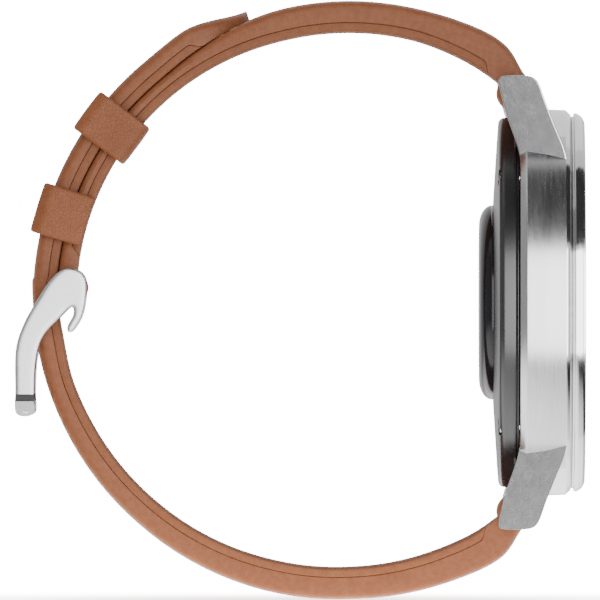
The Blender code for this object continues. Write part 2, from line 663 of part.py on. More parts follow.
def make_back():
    """Window, sensor board, charging coil, seal and screws."""
    flange_x = COVER_INNER_X + TOUCH_GAP
    inner_x = flange_x + WINDOW_FLANGE_THICKNESS
    window_round = [
        (WINDOW_RADIUS - WINDOW_ROUND_WIDTH * (1 - math.cos(a)), WINDOW_ROUND_DEPTH * (1 - math.sin(a)))
        for a in (0.0, 30.0 * DEG, 60.0 * DEG, 90.0 * DEG)
    ]
    profile = [
        (0.0, inner_x),
        (WINDOW_RADIUS + WINDOW_FLANGE, inner_x),
        (WINDOW_RADIUS + WINDOW_FLANGE, flange_x),
        (WINDOW_RADIUS, flange_x),
    ] + window_round + [(0.0, 0.0)]
    dial_turned("sensor_window", profile, "glass", closed=False)
    board_x = inner_x + TOUCH_GAP
    dial_turned("sensor_board", disc_profile(
        WINDOW_RADIUS, board_x, board_x + SENSOR_BOARD_THICKNESS), "circuit_board", closed=False)
    coil_inner = WINDOW_RADIUS + WINDOW_FLANGE + SLIM_GAP
    dial_turned("charge_coil", tube_profile(
        coil_inner, coil_inner + COIL_WIDTH, flange_x, flange_x + COIL_THICKNESS), "copper")
    seal_x = CASE_BACK_X + TOUCH_GAP
    dial_turned("back_seal", tube_profile(
        INNER_RADIUS - BACK_SEAL_WIDTH, INNER_RADIUS, seal_x, seal_x + BACK_SEAL_WIDTH), "black_rubber")
    head_x = COVER_RIM_BACK_X + RUN_GAP
    for i, (y, z) in enumerate(screw_places()):
        profile = [
            (0.0, head_x + SCREW_LENGTH), (SCREW_RADIUS, head_x + SCREW_LENGTH),
            (SCREW_RADIUS, head_x + SCREW_HEAD_HEIGHT), (SCREW_HEAD_RADIUS, head_x + SCREW_HEAD_HEIGHT),
            (SCREW_HEAD_RADIUS, head_x), (0.0, head_x),
        ]
        screw = dial_turned("back_screw_%d" % (i + 1), profile, "polished_steel", False, PIN_SIDES)
        screw.location = (0.0, y, z)


# ---------------------------------------------------------------- inside


def make_inner_frame():
    """Plastic cup that holds the display in front and the electronics behind."""
    profile = [
        (0.0, FRAME_FRONT_X), (INNER_RADIUS, FRAME_FRONT_X), (INNER_RADIUS, FRAME_BACK_X),
        (INNER_RADIUS - FRAME_WALL, FRAME_BACK_X), (INNER_RADIUS - FRAME_WALL, FRAME_UNDER_X),
        (0.0, FRAME_UNDER_X),
    ]
    frame = dial_turned("inner_frame", profile, "black_plastic", closed=False)
    slot = add_cutter("flex_slot", box_mesh((
        8 * FRAME_FLOOR, FLEX_WIDTH + 4 * TOUCH_GAP, FLEX_THICKNESS + 2 * TOUCH_GAP)))
    slot.location = (FRAME_UNDER_X, 0.0, flex_z() + FLEX_THICKNESS / 2)
    combine(frame, slot, "DIFFERENCE")
    width = 2 * (PUSHER_CLIP_RADIUS + TOUCH_GAP)
    height = 2 * (FRAME_UNDER_X - PUSHER_X)
    for name, angle in (("crown", CROWN_ANGLE), ("button", BUTTON_ANGLE)):
        notch = add_cutter(name + "_notch", box_mesh((
            height + RUN_GAP, width, 6 * FRAME_WALL)))
        notch.location = Vector((PUSHER_X - RUN_GAP, 0.0, 0.0)) + pusher_axis(angle) * INNER_RADIUS
        notch.rotation_euler = (angle - 90.0 * DEG, 0.0, 0.0)
        combine(frame, notch, "DIFFERENCE")


def make_electronics():
    """Battery, boards, shield and vibration motor, under the inner frame."""
    top = FRAME_UNDER_X - TOUCH_GAP
    battery = add_part("battery", box_mesh(BATTERY_SIZE, BATTERY_EDGE), "foil")
    battery.location = (top - BATTERY_SIZE[0] / 2, *BATTERY_CENTRE)
    board = add_part("main_board", box_mesh((BOARD_THICKNESS, *BOARD_SIZE)), "circuit_board")
    board.location = (top - BOARD_THICKNESS / 2, *BOARD_CENTRE)
    shield = add_part("board_shield", box_mesh(SHIELD_SIZE, SHIELD_EDGE), "foil")
    shield_top = top - BOARD_THICKNESS - SLIM_GAP
    shield.location = (shield_top - SHIELD_SIZE[0] / 2, *BOARD_CENTRE)
    motor = dial_turned("vibration_motor", disc_profile(
        MOTOR_RADIUS, top - MOTOR_THICKNESS, top, SLIM_GAP), "foil", False, STEM_SIDES)
    motor.location = (0.0, *MOTOR_CENTRE)


# ---------------------------------------------------------------- crown and button


def tube_outer():
    """Outer radius of the sleeve that a pusher's stem runs in."""
    return PUSHER_STEM_RADIUS + 2 * RUN_GAP + PUSHER_TUBE_WALL


def coil_points(radius, low, high, turns):
    """Points along a helix about +Z."""
    count = turns * SPRING_STEPS
    turn = 2 * math.pi / SPRING_STEPS
    return [
        (radius * math.cos(turn * i), radius * math.sin(turn * i), low + (high - low) * i / count)
        for i in range(count + 1)
    ]


def make_pusher(name, angle, radius, height, clip_name):
    """Crown or button with its sleeve, seal, spring, end piece and switch."""
    stem = PUSHER_STEM_RADIUS
    sleeve = tube_outer()
    under = CASE_RADIUS + 2 * PUSHER_TRAVEL
    head = under + height
    recess = under + PUSHER_RECESS_SHARE * height
    recess_radius = sleeve + 2 * SPRING_WIRE + 2 * SLIM_GAP
    stem_end = CASE_BORE - PUSHER_STEM_IN
    edge = PUSHER_EDGE_SHARE * radius
    profile = [
        (0.0, head), (radius - edge, head), (radius, head - edge), (radius, under + edge / 2),
        (radius - edge / 2, under), (recess_radius, under), (recess_radius, recess), (stem, recess),
        (stem, stem_end), (0.0, stem_end),
    ]
    radial_turned(name, profile, "polished_steel", angle, closed=False)
    bore = stem + 2 * RUN_GAP
    seat = bore + PUSHER_SEAT_SHARE * PUSHER_TUBE_WALL
    tube_in = CASE_BORE
    tube_out = recess - PUSHER_TRAVEL - TOUCH_GAP
    seat_low = tube_out - PUSHER_SEAL_DEPTH
    radial_turned(name + "_tube", [
        (sleeve, tube_out), (sleeve, tube_in), (bore, tube_in), (bore, seat_low), (seat, seat_low),
        (seat, tube_out),
    ], "spring_steel", angle)
    radial_turned(name + "_seal", tube_profile(
        stem + RUN_GAP / 2, seat - RUN_GAP / 2, seat_low + SLIM_GAP, tube_out - SLIM_GAP),
        "black_rubber", angle)
    spring_radius = sleeve + SLIM_GAP + SPRING_WIRE / 2
    low = CASE_RADIUS + SPRING_WIRE / 2 + RUN_GAP
    spring = add_part(name + "_spring", rod_mesh(coil_points(
        spring_radius, low, recess - SPRING_WIRE / 2 - RUN_GAP, SPRING_TURNS), SPRING_WIRE / 2),
        "spring_steel")
    spring.location = (PUSHER_X, 0.0, 0.0)
    spring.rotation_euler = (angle - 90.0 * DEG, 0.0, 0.0)
    clip_high = stem_end - TOUCH_GAP
    clip_low = clip_high - PUSHER_CLIP_THICKNESS
    radial_turned(clip_name, disc_profile(
        PUSHER_CLIP_RADIUS, clip_low, clip_high), "spring_steel", angle, closed=False)
    switch = add_part(name + "_switch", box_mesh(SWITCH_SIZE), "black_plastic")
    switch_at = clip_low - PUSHER_TRAVEL - TOUCH_GAP - SWITCH_SIZE[2] / 2
    switch.location = Vector((PUSHER_X, 0.0, 0.0)) + pusher_axis(angle) * switch_at
    switch.rotation_euler = (angle - 90.0 * DEG, 0.0, 0.0)


# ---------------------------------------------------------------- strap


def on_loop(degrees, radius):
    """Side-view place at an angle round the buckled loop."""
    angle = degrees * DEG
    return (LOOP_CENTRE_X + radius * math.cos(angle), LOOP_CENTRE_Z + radius * math.sin(angle))


def loop_angle(x, z):
    """Angle round the loop of a side-view place, in degrees from the dial."""
    return (math.atan2(z - LOOP_CENTRE_Z, x - LOOP_CENTRE_X) / DEG) % 360.0


def section(stations, degrees):
    """Lift and thickness of a strap half at an angle, eased between its stations."""
    if degrees <= stations[0][0]:
        return stations[0][1:]
    for (a, lift_a, thick_a), (b, lift_b, thick_b) in zip(stations, stations[1:]):
        if degrees <= b:
            t = (degrees - a) / (b - a)
            return lift_a + (lift_b - lift_a) * t, thick_a + (thick_b - thick_a) * t
    return stations[-1][1:]


def upper_faces(degrees):
    """Wrist-side and outer radius of the upper half."""
    lift, thick = section(UPPER_STATIONS, degrees)
    return LOOP_RADIUS + lift, LOOP_RADIUS + lift + thick


def tip_blend(degrees):
    """0 at the tip of the tail, 1 where the tail has its full width and thickness."""
    return ease((degrees - TAIL_TIP_ANGLE) / TAIL_TIP_LENGTH)


def lower_faces(degrees):
    """Wrist-side and outer radius of the lower half, whose tail lies on the upper half."""
    if degrees > TAIL_OVER_BUCKLE:
        join = upper_faces(TAIL_OVER_BUCKLE)[1] + TAIL_GAP - LOOP_RADIUS
        stations = ((TAIL_OVER_BUCKLE, join, TAIL_THICKNESS),) + LOWER_STATIONS
        lift, thick = section(stations, degrees)
        return LOOP_RADIUS + lift, LOOP_RADIUS + lift + thick
    inner = upper_faces(degrees)[1] + TAIL_GAP
    thick = TAIL_TIP_THICKNESS + (TAIL_THICKNESS - TAIL_TIP_THICKNESS) * tip_blend(degrees)
    return inner, inner + thick


def half_width(degrees, tail):
    """Half the strap's width: it narrows from the lugs to the buckle, and at the tail's tip."""
    from_dial = min(degrees, 360.0 - degrees)
    start = loop_angle(BAR_X, BAR_Z)
    t = min(1.0, max(0.0, (from_dial - start) / (TAPER_END - start)))
    half = (STRAP_WIDTH + (STRAP_END_WIDTH - STRAP_WIDTH) * t) / 2 - TOUCH_GAP / 2
    if not tail or degrees > TAIL_OVER_BUCKLE:
        return half
    half = STRAP_END_WIDTH / 2 - TOUCH_GAP / 2
    t = min(1.0, max(0.0, (degrees - TAIL_TIP_ANGLE) / TAIL_TIP_LENGTH))
    return TAIL_TIP_HALF_WIDTH + (half - TAIL_TIP_HALF_WIDTH) * math.sqrt(1.0 - (1.0 - t) ** 2)


def sections_between(start, end):
    """Evenly spaced angles from start to end."""
    count = max(1, round((end - start) / STRAP_STEP))
    return [start + (end - start) * i / count for i in range(count + 1)]


def band_mesh(start, end, inner, outer, tail):
    """Curved band of leather between two angles, with its width following the strap's."""
    angles = sections_between(start, end)
    points = [on_loop(a, outer(a)) for a in angles]
    points += [on_loop(a, inner(a)) for a in reversed(angles)]
    mesh = side_outline_mesh(points, 1.0)
    for vert in mesh.vertices:
        vert.co.y *= half_width(loop_angle(vert.co.x, vert.co.z), tail)
    return mesh


def add_eye(strap, name, x, z, width, radius, hole_radius):
    """Round fold of leather about a bar."""
    eye = add_cutter(name + "_eye", cylinder_mesh(radius, width, STEM_SIDES))
    combine(strap, across(eye, x, z), "UNION")
    hole = add_cutter(name + "_hole", cylinder_mesh(hole_radius, 2 * width, STEM_SIDES))
    combine(strap, across(hole, x, z), "DIFFERENCE")


def cut_lever_notch(strap, name, side):
    """Opening on the wrist side through which the quick-release lever is reached."""
    lever = lever_y()
    width = LEVER_LENGTH + BAR_TRAVEL + 4 * TOUCH_GAP
    reach = 2 * LUG_EYE_RADIUS
    notch = add_cutter(name, box_mesh((2 * (BAR_RADIUS + TOUCH_GAP), width, reach)))
    direction = wrist_direction(side)
    place = Vector((BAR_X, lever - BAR_TRAVEL / 2, side * BAR_Z)) + direction * reach / 2
    notch.location = place
    notch.rotation_euler = (0.0, math.atan2(direction.x, direction.z), 0.0)
    combine(strap, notch, "DIFFERENCE")


def wrist_direction(side):
    """From a lug bar towards the middle of the loop."""
    to_centre = Vector((LOOP_CENTRE_X - BAR_X, 0.0, LOOP_CENTRE_Z - side * BAR_Z))
    return to_centre.normalized()


def buckle_bar_place():
    """Side-view place of the bar that the buckle turns on."""
    return on_loop(BUCKLE_BAR_ANGLE, LOOP_RADIUS + BUCKLE_BAR_LIFT)


def make_upper_strap():
    """Buckle half: outer leather folded round both bars, and its lining."""
    start = loop_angle(BAR_X, BAR_Z)
    end = BUCKLE_BAR_ANGLE

    def split(degrees):
        """Radius where the outer leather begins: lower at both folds, where there is no lining."""
        inner = upper_faces(degrees)[0]
        covered = ease((degrees - start - LINING_START + SPLIT_BEFORE) / SPLIT_LENGTH)
        covered *= ease((end - LINING_START + SPLIT_BEFORE - degrees) / SPLIT_LENGTH)
        return inner + (LINING_THICKNESS + LAYER_GAP) * covered

    strap = add_part("strap_12_top", band_mesh(
        start, end, split, lambda a: upper_faces(a)[1], False), "tan_leather")
    add_eye(strap, "strap_12_lug", BAR_X, BAR_Z, STRAP_WIDTH - TOUCH_GAP, LUG_EYE_RADIUS,
            BAR_RADIUS + SLIM_GAP)
    bar_x, bar_z = buckle_bar_place()
    add_eye(strap, "strap_12_buckle", bar_x, bar_z, STRAP_END_WIDTH - TOUCH_GAP, BUCKLE_EYE_RADIUS,
            BUCKLE_BAR_RADIUS + SLIM_GAP)
    cut_lever_notch(strap, "strap_12_notch", 1)
    slot = add_cutter("tang_slot", box_mesh((
        4 * BUCKLE_EYE_RADIUS, 2 * (TANG_HALF_WIDTH + 2 * TOUCH_GAP),
        2 * (TANG_EYE_RADIUS + 2 * TOUCH_GAP))))
    slot.location = (bar_x, 0.0, bar_z)
    combine(strap, slot, "DIFFERENCE")
    add_part("strap_12_lining", band_mesh(
        start + LINING_START, end - LINING_START, lambda a: upper_faces(a)[0],
        lambda a: upper_faces(a)[0] + LINING_THICKNESS, False), "tan_lining")


def hole_angles():
    """Angles of the holes in the tail, one of which the tang passes through."""
    used = TANG_HOLE_ANGLE
    return [used + HOLE_PITCH * (i - HOLE_USED) for i in range(HOLE_COUNT)]


def tang_hole_angle():
    """Angle round the loop where the tang is half-way through the tail."""
    bar_x, bar_z = buckle_bar_place()
    x, z = TANG_PATH[2]
    return loop_angle(bar_x + x * MM, bar_z + z * MM)


def cut_tail_holes(strap, name):
    """Row of oval holes along the middle of the tail."""
    for i, angle in enumerate(hole_angles()):
        inner, outer = lower_faces(angle)
        mesh = cylinder_mesh(HOLE_WIDTH / 2, 3 * (outer - inner), PIN_SIDES)
        for vert in mesh.vertices:
            vert.co.x *= HOLE_LENGTH / HOLE_WIDTH
        cutter = add_cutter("%s_hole_%d" % (name, i + 1), mesh)
        x, z = on_loop(angle, (inner + outer) / 2)
        cutter.location = (x, 0.0, z)
        cutter.rotation_euler = (0.0, (90.0 - angle) * DEG, 0.0)
        combine(strap, cutter, "DIFFERENCE")


def make_lower_strap():
    """Tail half: outer leather from the lug to the tip, and its lining."""
    end = loop_angle(BAR_X, -BAR_Z)
    lining_from = TAIL_TIP_ANGLE + TAIL_TIP_LENGTH

    def split(degrees):
        """Radius where the outer leather begins: lower at the fold and at the tip."""
        inner = lower_faces(degrees)[0]
        covered = ease((degrees - lining_from + SPLIT_BEFORE) / SPLIT_LENGTH)
        covered *= ease((end - LINING_START + SPLIT_BEFORE - degrees) / SPLIT_LENGTH)
        return inner + (LINING_THICKNESS + LAYER_GAP) * covered

    strap = add_part("strap_6_top", band_mesh(
        TAIL_TIP_ANGLE, end, split, lambda a: lower_faces(a)[1], True), "tan_leather")
    add_eye(strap, "strap_6_lug", BAR_X, -BAR_Z, STRAP_WIDTH - TOUCH_GAP, LUG_EYE_RADIUS,
            BAR_RADIUS + SLIM_GAP)
    cut_lever_notch(strap, "strap_6_notch", -1)
    cut_tail_holes(strap, "strap_6_top")
    lining = add_part("strap_6_lining", band_mesh(
        lining_from, end - LINING_START, lambda a: lower_faces(a)[0],
        lambda a: lower_faces(a)[0] + LINING_THICKNESS, True), "tan_lining")
    cut_tail_holes(lining, "strap_6_lining")


# ---------------------------------------------------------------- keepers and buckle


def make_keeper(name, degrees, length, open_inside):
    """Leather band round both halves; the fixed one is open on the wrist side and glued on."""
    inner = upper_faces(degrees)[0]
    outer = lower_faces(degrees)[1]
    sag = inner * (1.0 - math.cos(length / 2 / inner))
    low = inner - sag - KEEPER_PLAY
    high = outer + KEEPER_PLAY
    wide = STRAP_END_WIDTH + 2 * KEEPER_PLAY
    depth = high - low + 2 * KEEPER_WALL
    keeper = add_part(name, box_mesh((depth, wide + 2 * KEEPER_WALL, length), KEEPER_EDGE), "tan_leather")
    x, z = on_loop(degrees, (low + high) / 2)
    keeper.location = (x, 0.0, z)
    keeper.rotation_euler = (0.0, -degrees * DEG, 0.0)
    window = add_cutter(name + "_window", box_mesh((high - low, wide, 2 * length)))
    window.location = keeper.location
    window.rotation_euler = keeper.rotation_euler
    combine(keeper, window, "DIFFERENCE")
    if open_inside:
        mouth = add_cutter(name + "_mouth", box_mesh((2 * depth, wide, 2 * length)))
        trim = add_cutter(name + "_trim", box_mesh((depth, 2 * wide, 2 * length)))
        x, z = on_loop(degrees, high - depth)
        mouth.location = (x, 0.0, z)
        x, z = on_loop(degrees, low + KEEPER_PLAY + sag - depth / 2)
        trim.location = (x, 0.0, z)
        for cutter in (mouth, trim):
            cutter.rotation_euler = keeper.rotation_euler
            combine(keeper, cutter, "DIFFERENCE")


def make_buckle():
    """Bar, frame with two side arms and a crossbar, and the tang."""
    bar_x, bar_z = buckle_bar_place()
    arm_inner = STRAP_END_WIDTH / 2 + TOUCH_GAP
    arm_outer = arm_inner + ARM_THICKNESS
    bar = add_part("buckle_bar", cylinder_mesh(
        BUCKLE_BAR_RADIUS, 2 * (arm_outer - TOUCH_GAP), STEM_SIDES), "polished_steel")
    across(bar, bar_x, bar_z)

    points = [(x * MM, z * MM) for x, z in ARM_OUTLINE]
    outline = smooth_loop(points, 3)
    frame = add_part("buckle_frame", cylinder_mesh(
        CROSSBAR_RADIUS, 2 * arm_outer - 2 * RUN_GAP, STEM_SIDES), "polished_steel")
    across(frame, bar_x + CROSSBAR_AT[0], bar_z + CROSSBAR_AT[1])
    for hand in (1, -1):
        arm = add_cutter("arm_%d" % hand, side_outline_mesh(outline, ARM_THICKNESS / 2))
        arm.location = (bar_x, hand * (arm_inner + arm_outer) / 2, bar_z)
        combine(frame, arm, "UNION")
    eye = add_cutter("frame_eye", cylinder_mesh(
        BUCKLE_BAR_RADIUS + RUN_GAP, 3 * arm_outer, STEM_SIDES))
    combine(frame, across(eye, bar_x, bar_z), "DIFFERENCE")
    rest = add_cutter("tang_rest", box_mesh((
        2 * CROSSBAR_RADIUS, 2 * (TANG_HALF_WIDTH + TOUCH_GAP), 4 * CROSSBAR_RADIUS)))
    notch_x = TANG_PATH[-1][0] * MM + TANG_RADIUS + TOUCH_GAP / 2
    rest.location = (bar_x + notch_x - CROSSBAR_RADIUS, 0.0, bar_z + CROSSBAR_AT[1])
    combine(frame, rest, "DIFFERENCE")

    tang = add_part("buckle_tang", cylinder_mesh(
        TANG_EYE_RADIUS, 2 * TANG_HALF_WIDTH, STEM_SIDES), "polished_steel")
    across(tang, bar_x, bar_z)
    rod = add_cutter("tang_rod", rod_mesh(
        [(x * MM, 0.0, z * MM) for x, z in TANG_PATH], TANG_RADIUS))
    rod.location = (bar_x, 0.0, bar_z)
    combine(tang, rod, "UNION")
    hole = add_cutter("tang_hole", cylinder_mesh(
        BUCKLE_BAR_RADIUS + RUN_GAP, 4 * TANG_HALF_WIDTH, STEM_SIDES))
    combine(tang, across(hole, bar_x, bar_z), "DIFFERENCE")


# ---------------------------------------------------------------- quick-release bars


def tube_half():
    """Half the length of a quick-release tube."""
    return LUG_GAP / 2 - BAR_END_GAP


def lever_y():
    """Middle of the lever at rest."""
    return tube_half() - LEVER_FROM_END


def make_quick_release(hour, side):
    """Tube with one fixed tip, a sliding tip with its thumb lever, and the spring behind it."""
    place = (BAR_X, 0.0, side * BAR_Z)
    half = tube_half()
    tip = LUG_GAP / 2 + BAR_TIP_IN_LUG
    lever = lever_y()
    stem_end = lever - LEVER_LENGTH / 2 - SLIDER_TAIL
    floor = -half + BAR_END_FLOOR
    profile = [
        (BAR_RADIUS, half), (BAR_RADIUS, -half), (BAR_TIP_RADIUS, -half), (BAR_TIP_RADIUS, -tip),
        (0.0, -tip),
    ]
    tube = add_part("bar_%s_tube" % hour, turned_mesh(
        [(0.0, floor), (BAR_BORE, floor), (BAR_BORE, half)] + profile, PIN_SIDES, False), "spring_steel")
    slot = add_cutter("bar_%s_slot" % hour, box_mesh((
        2 * BAR_BORE * SLOT_SHARE, LEVER_LENGTH + BAR_TRAVEL + 2 * TOUCH_GAP, 2 * BAR_RADIUS)))
    direction = wrist_direction(side)
    turn = math.atan2(direction.x, direction.z)
    slot.location = (Vector((BAR_X, lever - BAR_TRAVEL / 2, side * BAR_Z)) + direction * BAR_RADIUS)
    slot.rotation_euler = (0.0, turn, 0.0)
    tube.location = place
    tube.rotation_euler = (-90.0 * DEG, 0.0, 0.0)
    combine(tube, slot, "DIFFERENCE")

    slider = add_part("bar_%s_slider" % hour, turned_mesh(
        disc_profile(BAR_TIP_RADIUS, stem_end, tip), PIN_SIDES, False), "polished_steel")
    slider.location = place
    slider.rotation_euler = (-90.0 * DEG, 0.0, 0.0)
    tab = add_cutter("bar_%s_lever" % hour, box_mesh((
        2 * BAR_BORE * LEVER_SHARE, LEVER_LENGTH, LEVER_REACH)))
    tab.location = Vector((BAR_X, lever, side * BAR_Z)) + direction * LEVER_REACH / 2
    tab.rotation_euler = (0.0, turn, 0.0)
    combine(slider, tab, "UNION")

    spring = add_part("bar_%s_spring" % hour, rod_mesh(coil_points(
        BAR_BORE - RUN_GAP - BAR_SPRING_WIRE, floor + TOUCH_GAP, stem_end - TOUCH_GAP,
        BAR_SPRING_TURNS), BAR_SPRING_WIRE), "spring_steel")
    spring.location = place
    spring.rotation_euler = (-90.0 * DEG, 0.0, 0.0)


TANG_HOLE_ANGLE = tang_hole_angle()

make_mid_case()
make_bezel_ring()
make_front()
make_back_cover()
make_back()
make_inner_frame()
make_electronics()
make_pusher("crown", CROWN_ANGLE, CROWN_RADIUS, CROWN_HEIGHT, "crown_plunger")
make_pusher("button", BUTTON_ANGLE, BUTTON_RADIUS, BUTTON_HEIGHT, "button_clip")
make_upper_strap()
make_lower_strap()
make_keeper("free_keeper", FREE_KEEPER_ANGLE, FREE_KEEPER_LENGTH, False)
make_keeper("fixed_keeper", FIXED_KEEPER_ANGLE, FIXED_KEEPER_LENGTH, True)
make_buckle()
make_quick_release("12", 1)
make_quick_release("6", -1)
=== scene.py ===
# %% [markdown]
# # A round smartwatch on a buckled leather strap
# The packed CAD model is the frame of this lesson. It already has every solid in its place, and
# every body that moves. Here each visible piece is made again in fine mesh work, with rounded
# edges, stitches and knurling, and each finish is wired from nodes. A new piece rides on the CAD
# body that it belongs to, so that the joints still carry it.
# Everything is in metres. The dial looks along +X, twelve o'clock is +Z, and the pushers are at +Y.

import math

import bmesh
import bpy
from mathutils import Matrix, Vector


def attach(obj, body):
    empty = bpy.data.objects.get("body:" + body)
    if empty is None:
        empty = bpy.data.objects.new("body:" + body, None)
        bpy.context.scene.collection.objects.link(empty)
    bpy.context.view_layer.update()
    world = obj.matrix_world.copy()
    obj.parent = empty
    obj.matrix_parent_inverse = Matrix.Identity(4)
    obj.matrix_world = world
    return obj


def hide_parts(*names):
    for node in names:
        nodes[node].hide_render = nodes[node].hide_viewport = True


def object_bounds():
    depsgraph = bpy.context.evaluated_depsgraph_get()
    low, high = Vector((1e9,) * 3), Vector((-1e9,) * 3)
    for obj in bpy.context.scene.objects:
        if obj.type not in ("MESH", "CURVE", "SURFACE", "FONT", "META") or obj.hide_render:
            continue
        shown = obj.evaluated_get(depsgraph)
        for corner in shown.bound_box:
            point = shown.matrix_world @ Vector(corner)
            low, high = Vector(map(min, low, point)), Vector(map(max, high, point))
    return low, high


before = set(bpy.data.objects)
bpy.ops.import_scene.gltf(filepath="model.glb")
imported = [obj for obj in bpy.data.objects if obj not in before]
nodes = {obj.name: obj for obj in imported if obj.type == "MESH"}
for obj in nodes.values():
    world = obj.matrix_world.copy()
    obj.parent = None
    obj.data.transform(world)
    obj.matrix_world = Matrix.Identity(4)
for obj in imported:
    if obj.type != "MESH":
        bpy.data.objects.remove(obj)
for plain in {slot.material for node in nodes.values() for slot in node.material_slots}:
    plain.name = "cad_" + plain.name
cad_low, cad_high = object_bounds()
MM = 0.001
DEG = math.pi / 180.0
print("CAD box, mm:", [[round(c / MM, 2) for c in corner] for corner in (cad_low, cad_high)])

# %% [markdown]
# ## The camera
# The watch is seen square from its side, with the loop of the strap open to the eye. A wide lens
# would show the near lug larger than the far one. A long lens from three metres keeps the two
# together, nearly as a drawing does, and still works as a real camera when it is moved.

# %% Camera
CAMERA_DISTANCE = 3.0
FRAME_MARGIN = 1.003      # the frame is this much taller than the watch

middle = (cad_low + cad_high) / 2
frame_width = (cad_high.z - cad_low.z) * FRAME_MARGIN
camera = bpy.data.objects.new("camera", bpy.data.cameras.new("camera"))
bpy.context.scene.collection.objects.link(camera)
bpy.context.scene.camera = camera
camera.data.lens = camera.data.sensor_width * CAMERA_DISTANCE / frame_width
camera.data.clip_end = 10 * CAMERA_DISTANCE
camera.location = (middle.x, -CAMERA_DISTANCE, middle.z)
camera.rotation_euler = (90 * DEG, 0.0, 0.0)
print("frame width, mm:", round(frame_width / MM, 1), "lens, mm:", round(camera.data.lens))

# %% [markdown]
# ## The light
# Steel has no colour of its own to speak of: it shows what stands round it. A catalogue picture
# of a watch is lit by a white tent, with one soft box beside the lens for the bright band along
# the middle of the case, and black cards above and below it for the dark bands beside that. The
# soft box is in two pieces, with a gap between them so that the dial seen straight on doesn't
# mirror it. Each sheet is curved and stands where one band of the case would mirror it. The sheets
# show only in reflections, so the leather keeps its soft light from every side.

# %% The white tent
TENT_LIGHT = 1.0          # what the watch sees all round
BACKDROP_LIGHT = 16.0     # what the camera sees behind it, well into white

scene = bpy.context.scene
studio = bpy.data.worlds.new("studio")
scene.world = studio
studio.use_nodes = True
tree = studio.node_tree
tree.nodes.clear()
tent = tree.nodes.new("ShaderNodeBackground")
backdrop = tree.nodes.new("ShaderNodeBackground")
rays = tree.nodes.new("ShaderNodeLightPath")
either = tree.nodes.new("ShaderNodeMixShader")
world_output = tree.nodes.new("ShaderNodeOutputWorld")
tent.inputs["Color"].default_value = (1.0, 1.0, 1.0, 1.0)
tent.inputs["Strength"].default_value = TENT_LIGHT
backdrop.inputs["Color"].default_value = (1.0, 1.0, 1.0, 1.0)
backdrop.inputs["Strength"].default_value = BACKDROP_LIGHT
tree.links.new(rays.outputs["Is Camera Ray"], either.inputs[0])
tree.links.new(tent.outputs[0], either.inputs[1])
tree.links.new(backdrop.outputs[0], either.inputs[2])
tree.links.new(either.outputs[0], world_output.inputs[0])
print("tent", TENT_LIGHT, "and backdrop", BACKDROP_LIGHT)

# %% A helper for curved sheets
STAGE_REACH = 0.6         # from the watch to the soft box and the cards
SHEET_ROWS = 13           # rows of places each way in a curved sheet


def seen_in(tilt, turn):
    """Where the camera's ray goes from a polished face on the side of the case. Turn is how far
    round the dial axis the face lies, and tilt is how far it leans towards the dial."""
    normal = Vector((math.sin(tilt * DEG), -math.cos(tilt * DEG) * math.cos(turn * DEG),
                     math.cos(tilt * DEG) * math.sin(turn * DEG)))
    return Vector((0, 1, 0)).reflect(normal)


def studio_sheet(name, tilts, turns, colour, glow):
    """A curved sheet that stands exactly where a band of the case would mirror it. Only
    reflections see it."""
    bm = bmesh.new()
    grid = []
    for i in range(SHEET_ROWS):
        tilt = tilts[0] + (tilts[1] - tilts[0]) * i / (SHEET_ROWS - 1)
        grid.append([bm.verts.new(middle + STAGE_REACH * seen_in(
            tilt, turns[0] + (turns[1] - turns[0]) * k / (SHEET_ROWS - 1)))
            for k in range(SHEET_ROWS)])
    for first, second in zip(grid, grid[1:]):
        for k in range(SHEET_ROWS - 1):
            bm.faces.new((first[k], first[k + 1], second[k + 1], second[k]))
    mesh = bpy.data.meshes.new(name)
    bm.to_mesh(mesh)
    bm.free()
    sheet = bpy.data.objects.new(name, mesh)
    scene.collection.objects.link(sheet)
    cloth = bpy.data.materials.new(name)
    cloth.use_nodes = True
    shader = cloth.node_tree.nodes["Principled BSDF"]
    shader.inputs["Base Color"].default_value = (*colour, 1.0)
    shader.inputs["Roughness"].default_value = 1.0
    shader.inputs["Emission Color"].default_value = (1.0, 1.0, 1.0, 1.0)
    shader.inputs["Emission Strength"].default_value = glow
    mesh.materials.append(cloth)
    sheet.visible_camera = False
    sheet.visible_diffuse = False
    sheet.visible_shadow = False


print("the case mirrors a place towards", [round(c, 2) for c in seen_in(0.0, 0.0)])

# %% Soft boxes and cards
WHITE = (0.8, 0.8, 0.8)
BLACK = (0.02, 0.02, 0.02)
SOFT_BOX_LIGHT = 6.0
BACK_BOX_LIGHT = 0.6
GREY_CARD_GLOW = 0.25
LUG_CARD_GLOW = 0.5

studio_sheet("soft_box", (-5.0, 41.0), (-15.5, 15.5), WHITE, SOFT_BOX_LIGHT)
studio_sheet("far_soft_box", (49.0, 70.0), (-15.5, 15.5), WHITE, SOFT_BOX_LIGHT)
studio_sheet("card_above", (-5.0, 64.0), (17.0, 44.0), BLACK, 0.0)
studio_sheet("card_below", (-5.0, 64.0), (-17.0, -44.0), BLACK, 0.0)
studio_sheet("back_box_above", (-5.0, 50.0), (52.0, 84.0), WHITE, BACK_BOX_LIGHT)
studio_sheet("back_box_below", (-5.0, 50.0), (-52.0, -84.0), WHITE, BACK_BOX_LIGHT)
studio_sheet("grey_card", (-8.0, -19.0), (-30.0, 30.0), BLACK, GREY_CARD_GLOW)
studio_sheet("lug_card", (-20.0, -42.0), (-40.0, 40.0), BLACK, LUG_CARD_GLOW)
print("soft box and cards stand", STAGE_REACH, "m from the watch")

# %% Lamp
KEY_LIGHT = 6.0           # a plain lamp over the camera's shoulder, for the leather
KEY_SIZE = 0.25
KEY_SIDE = Vector((-0.25, -1.0, 0.55))

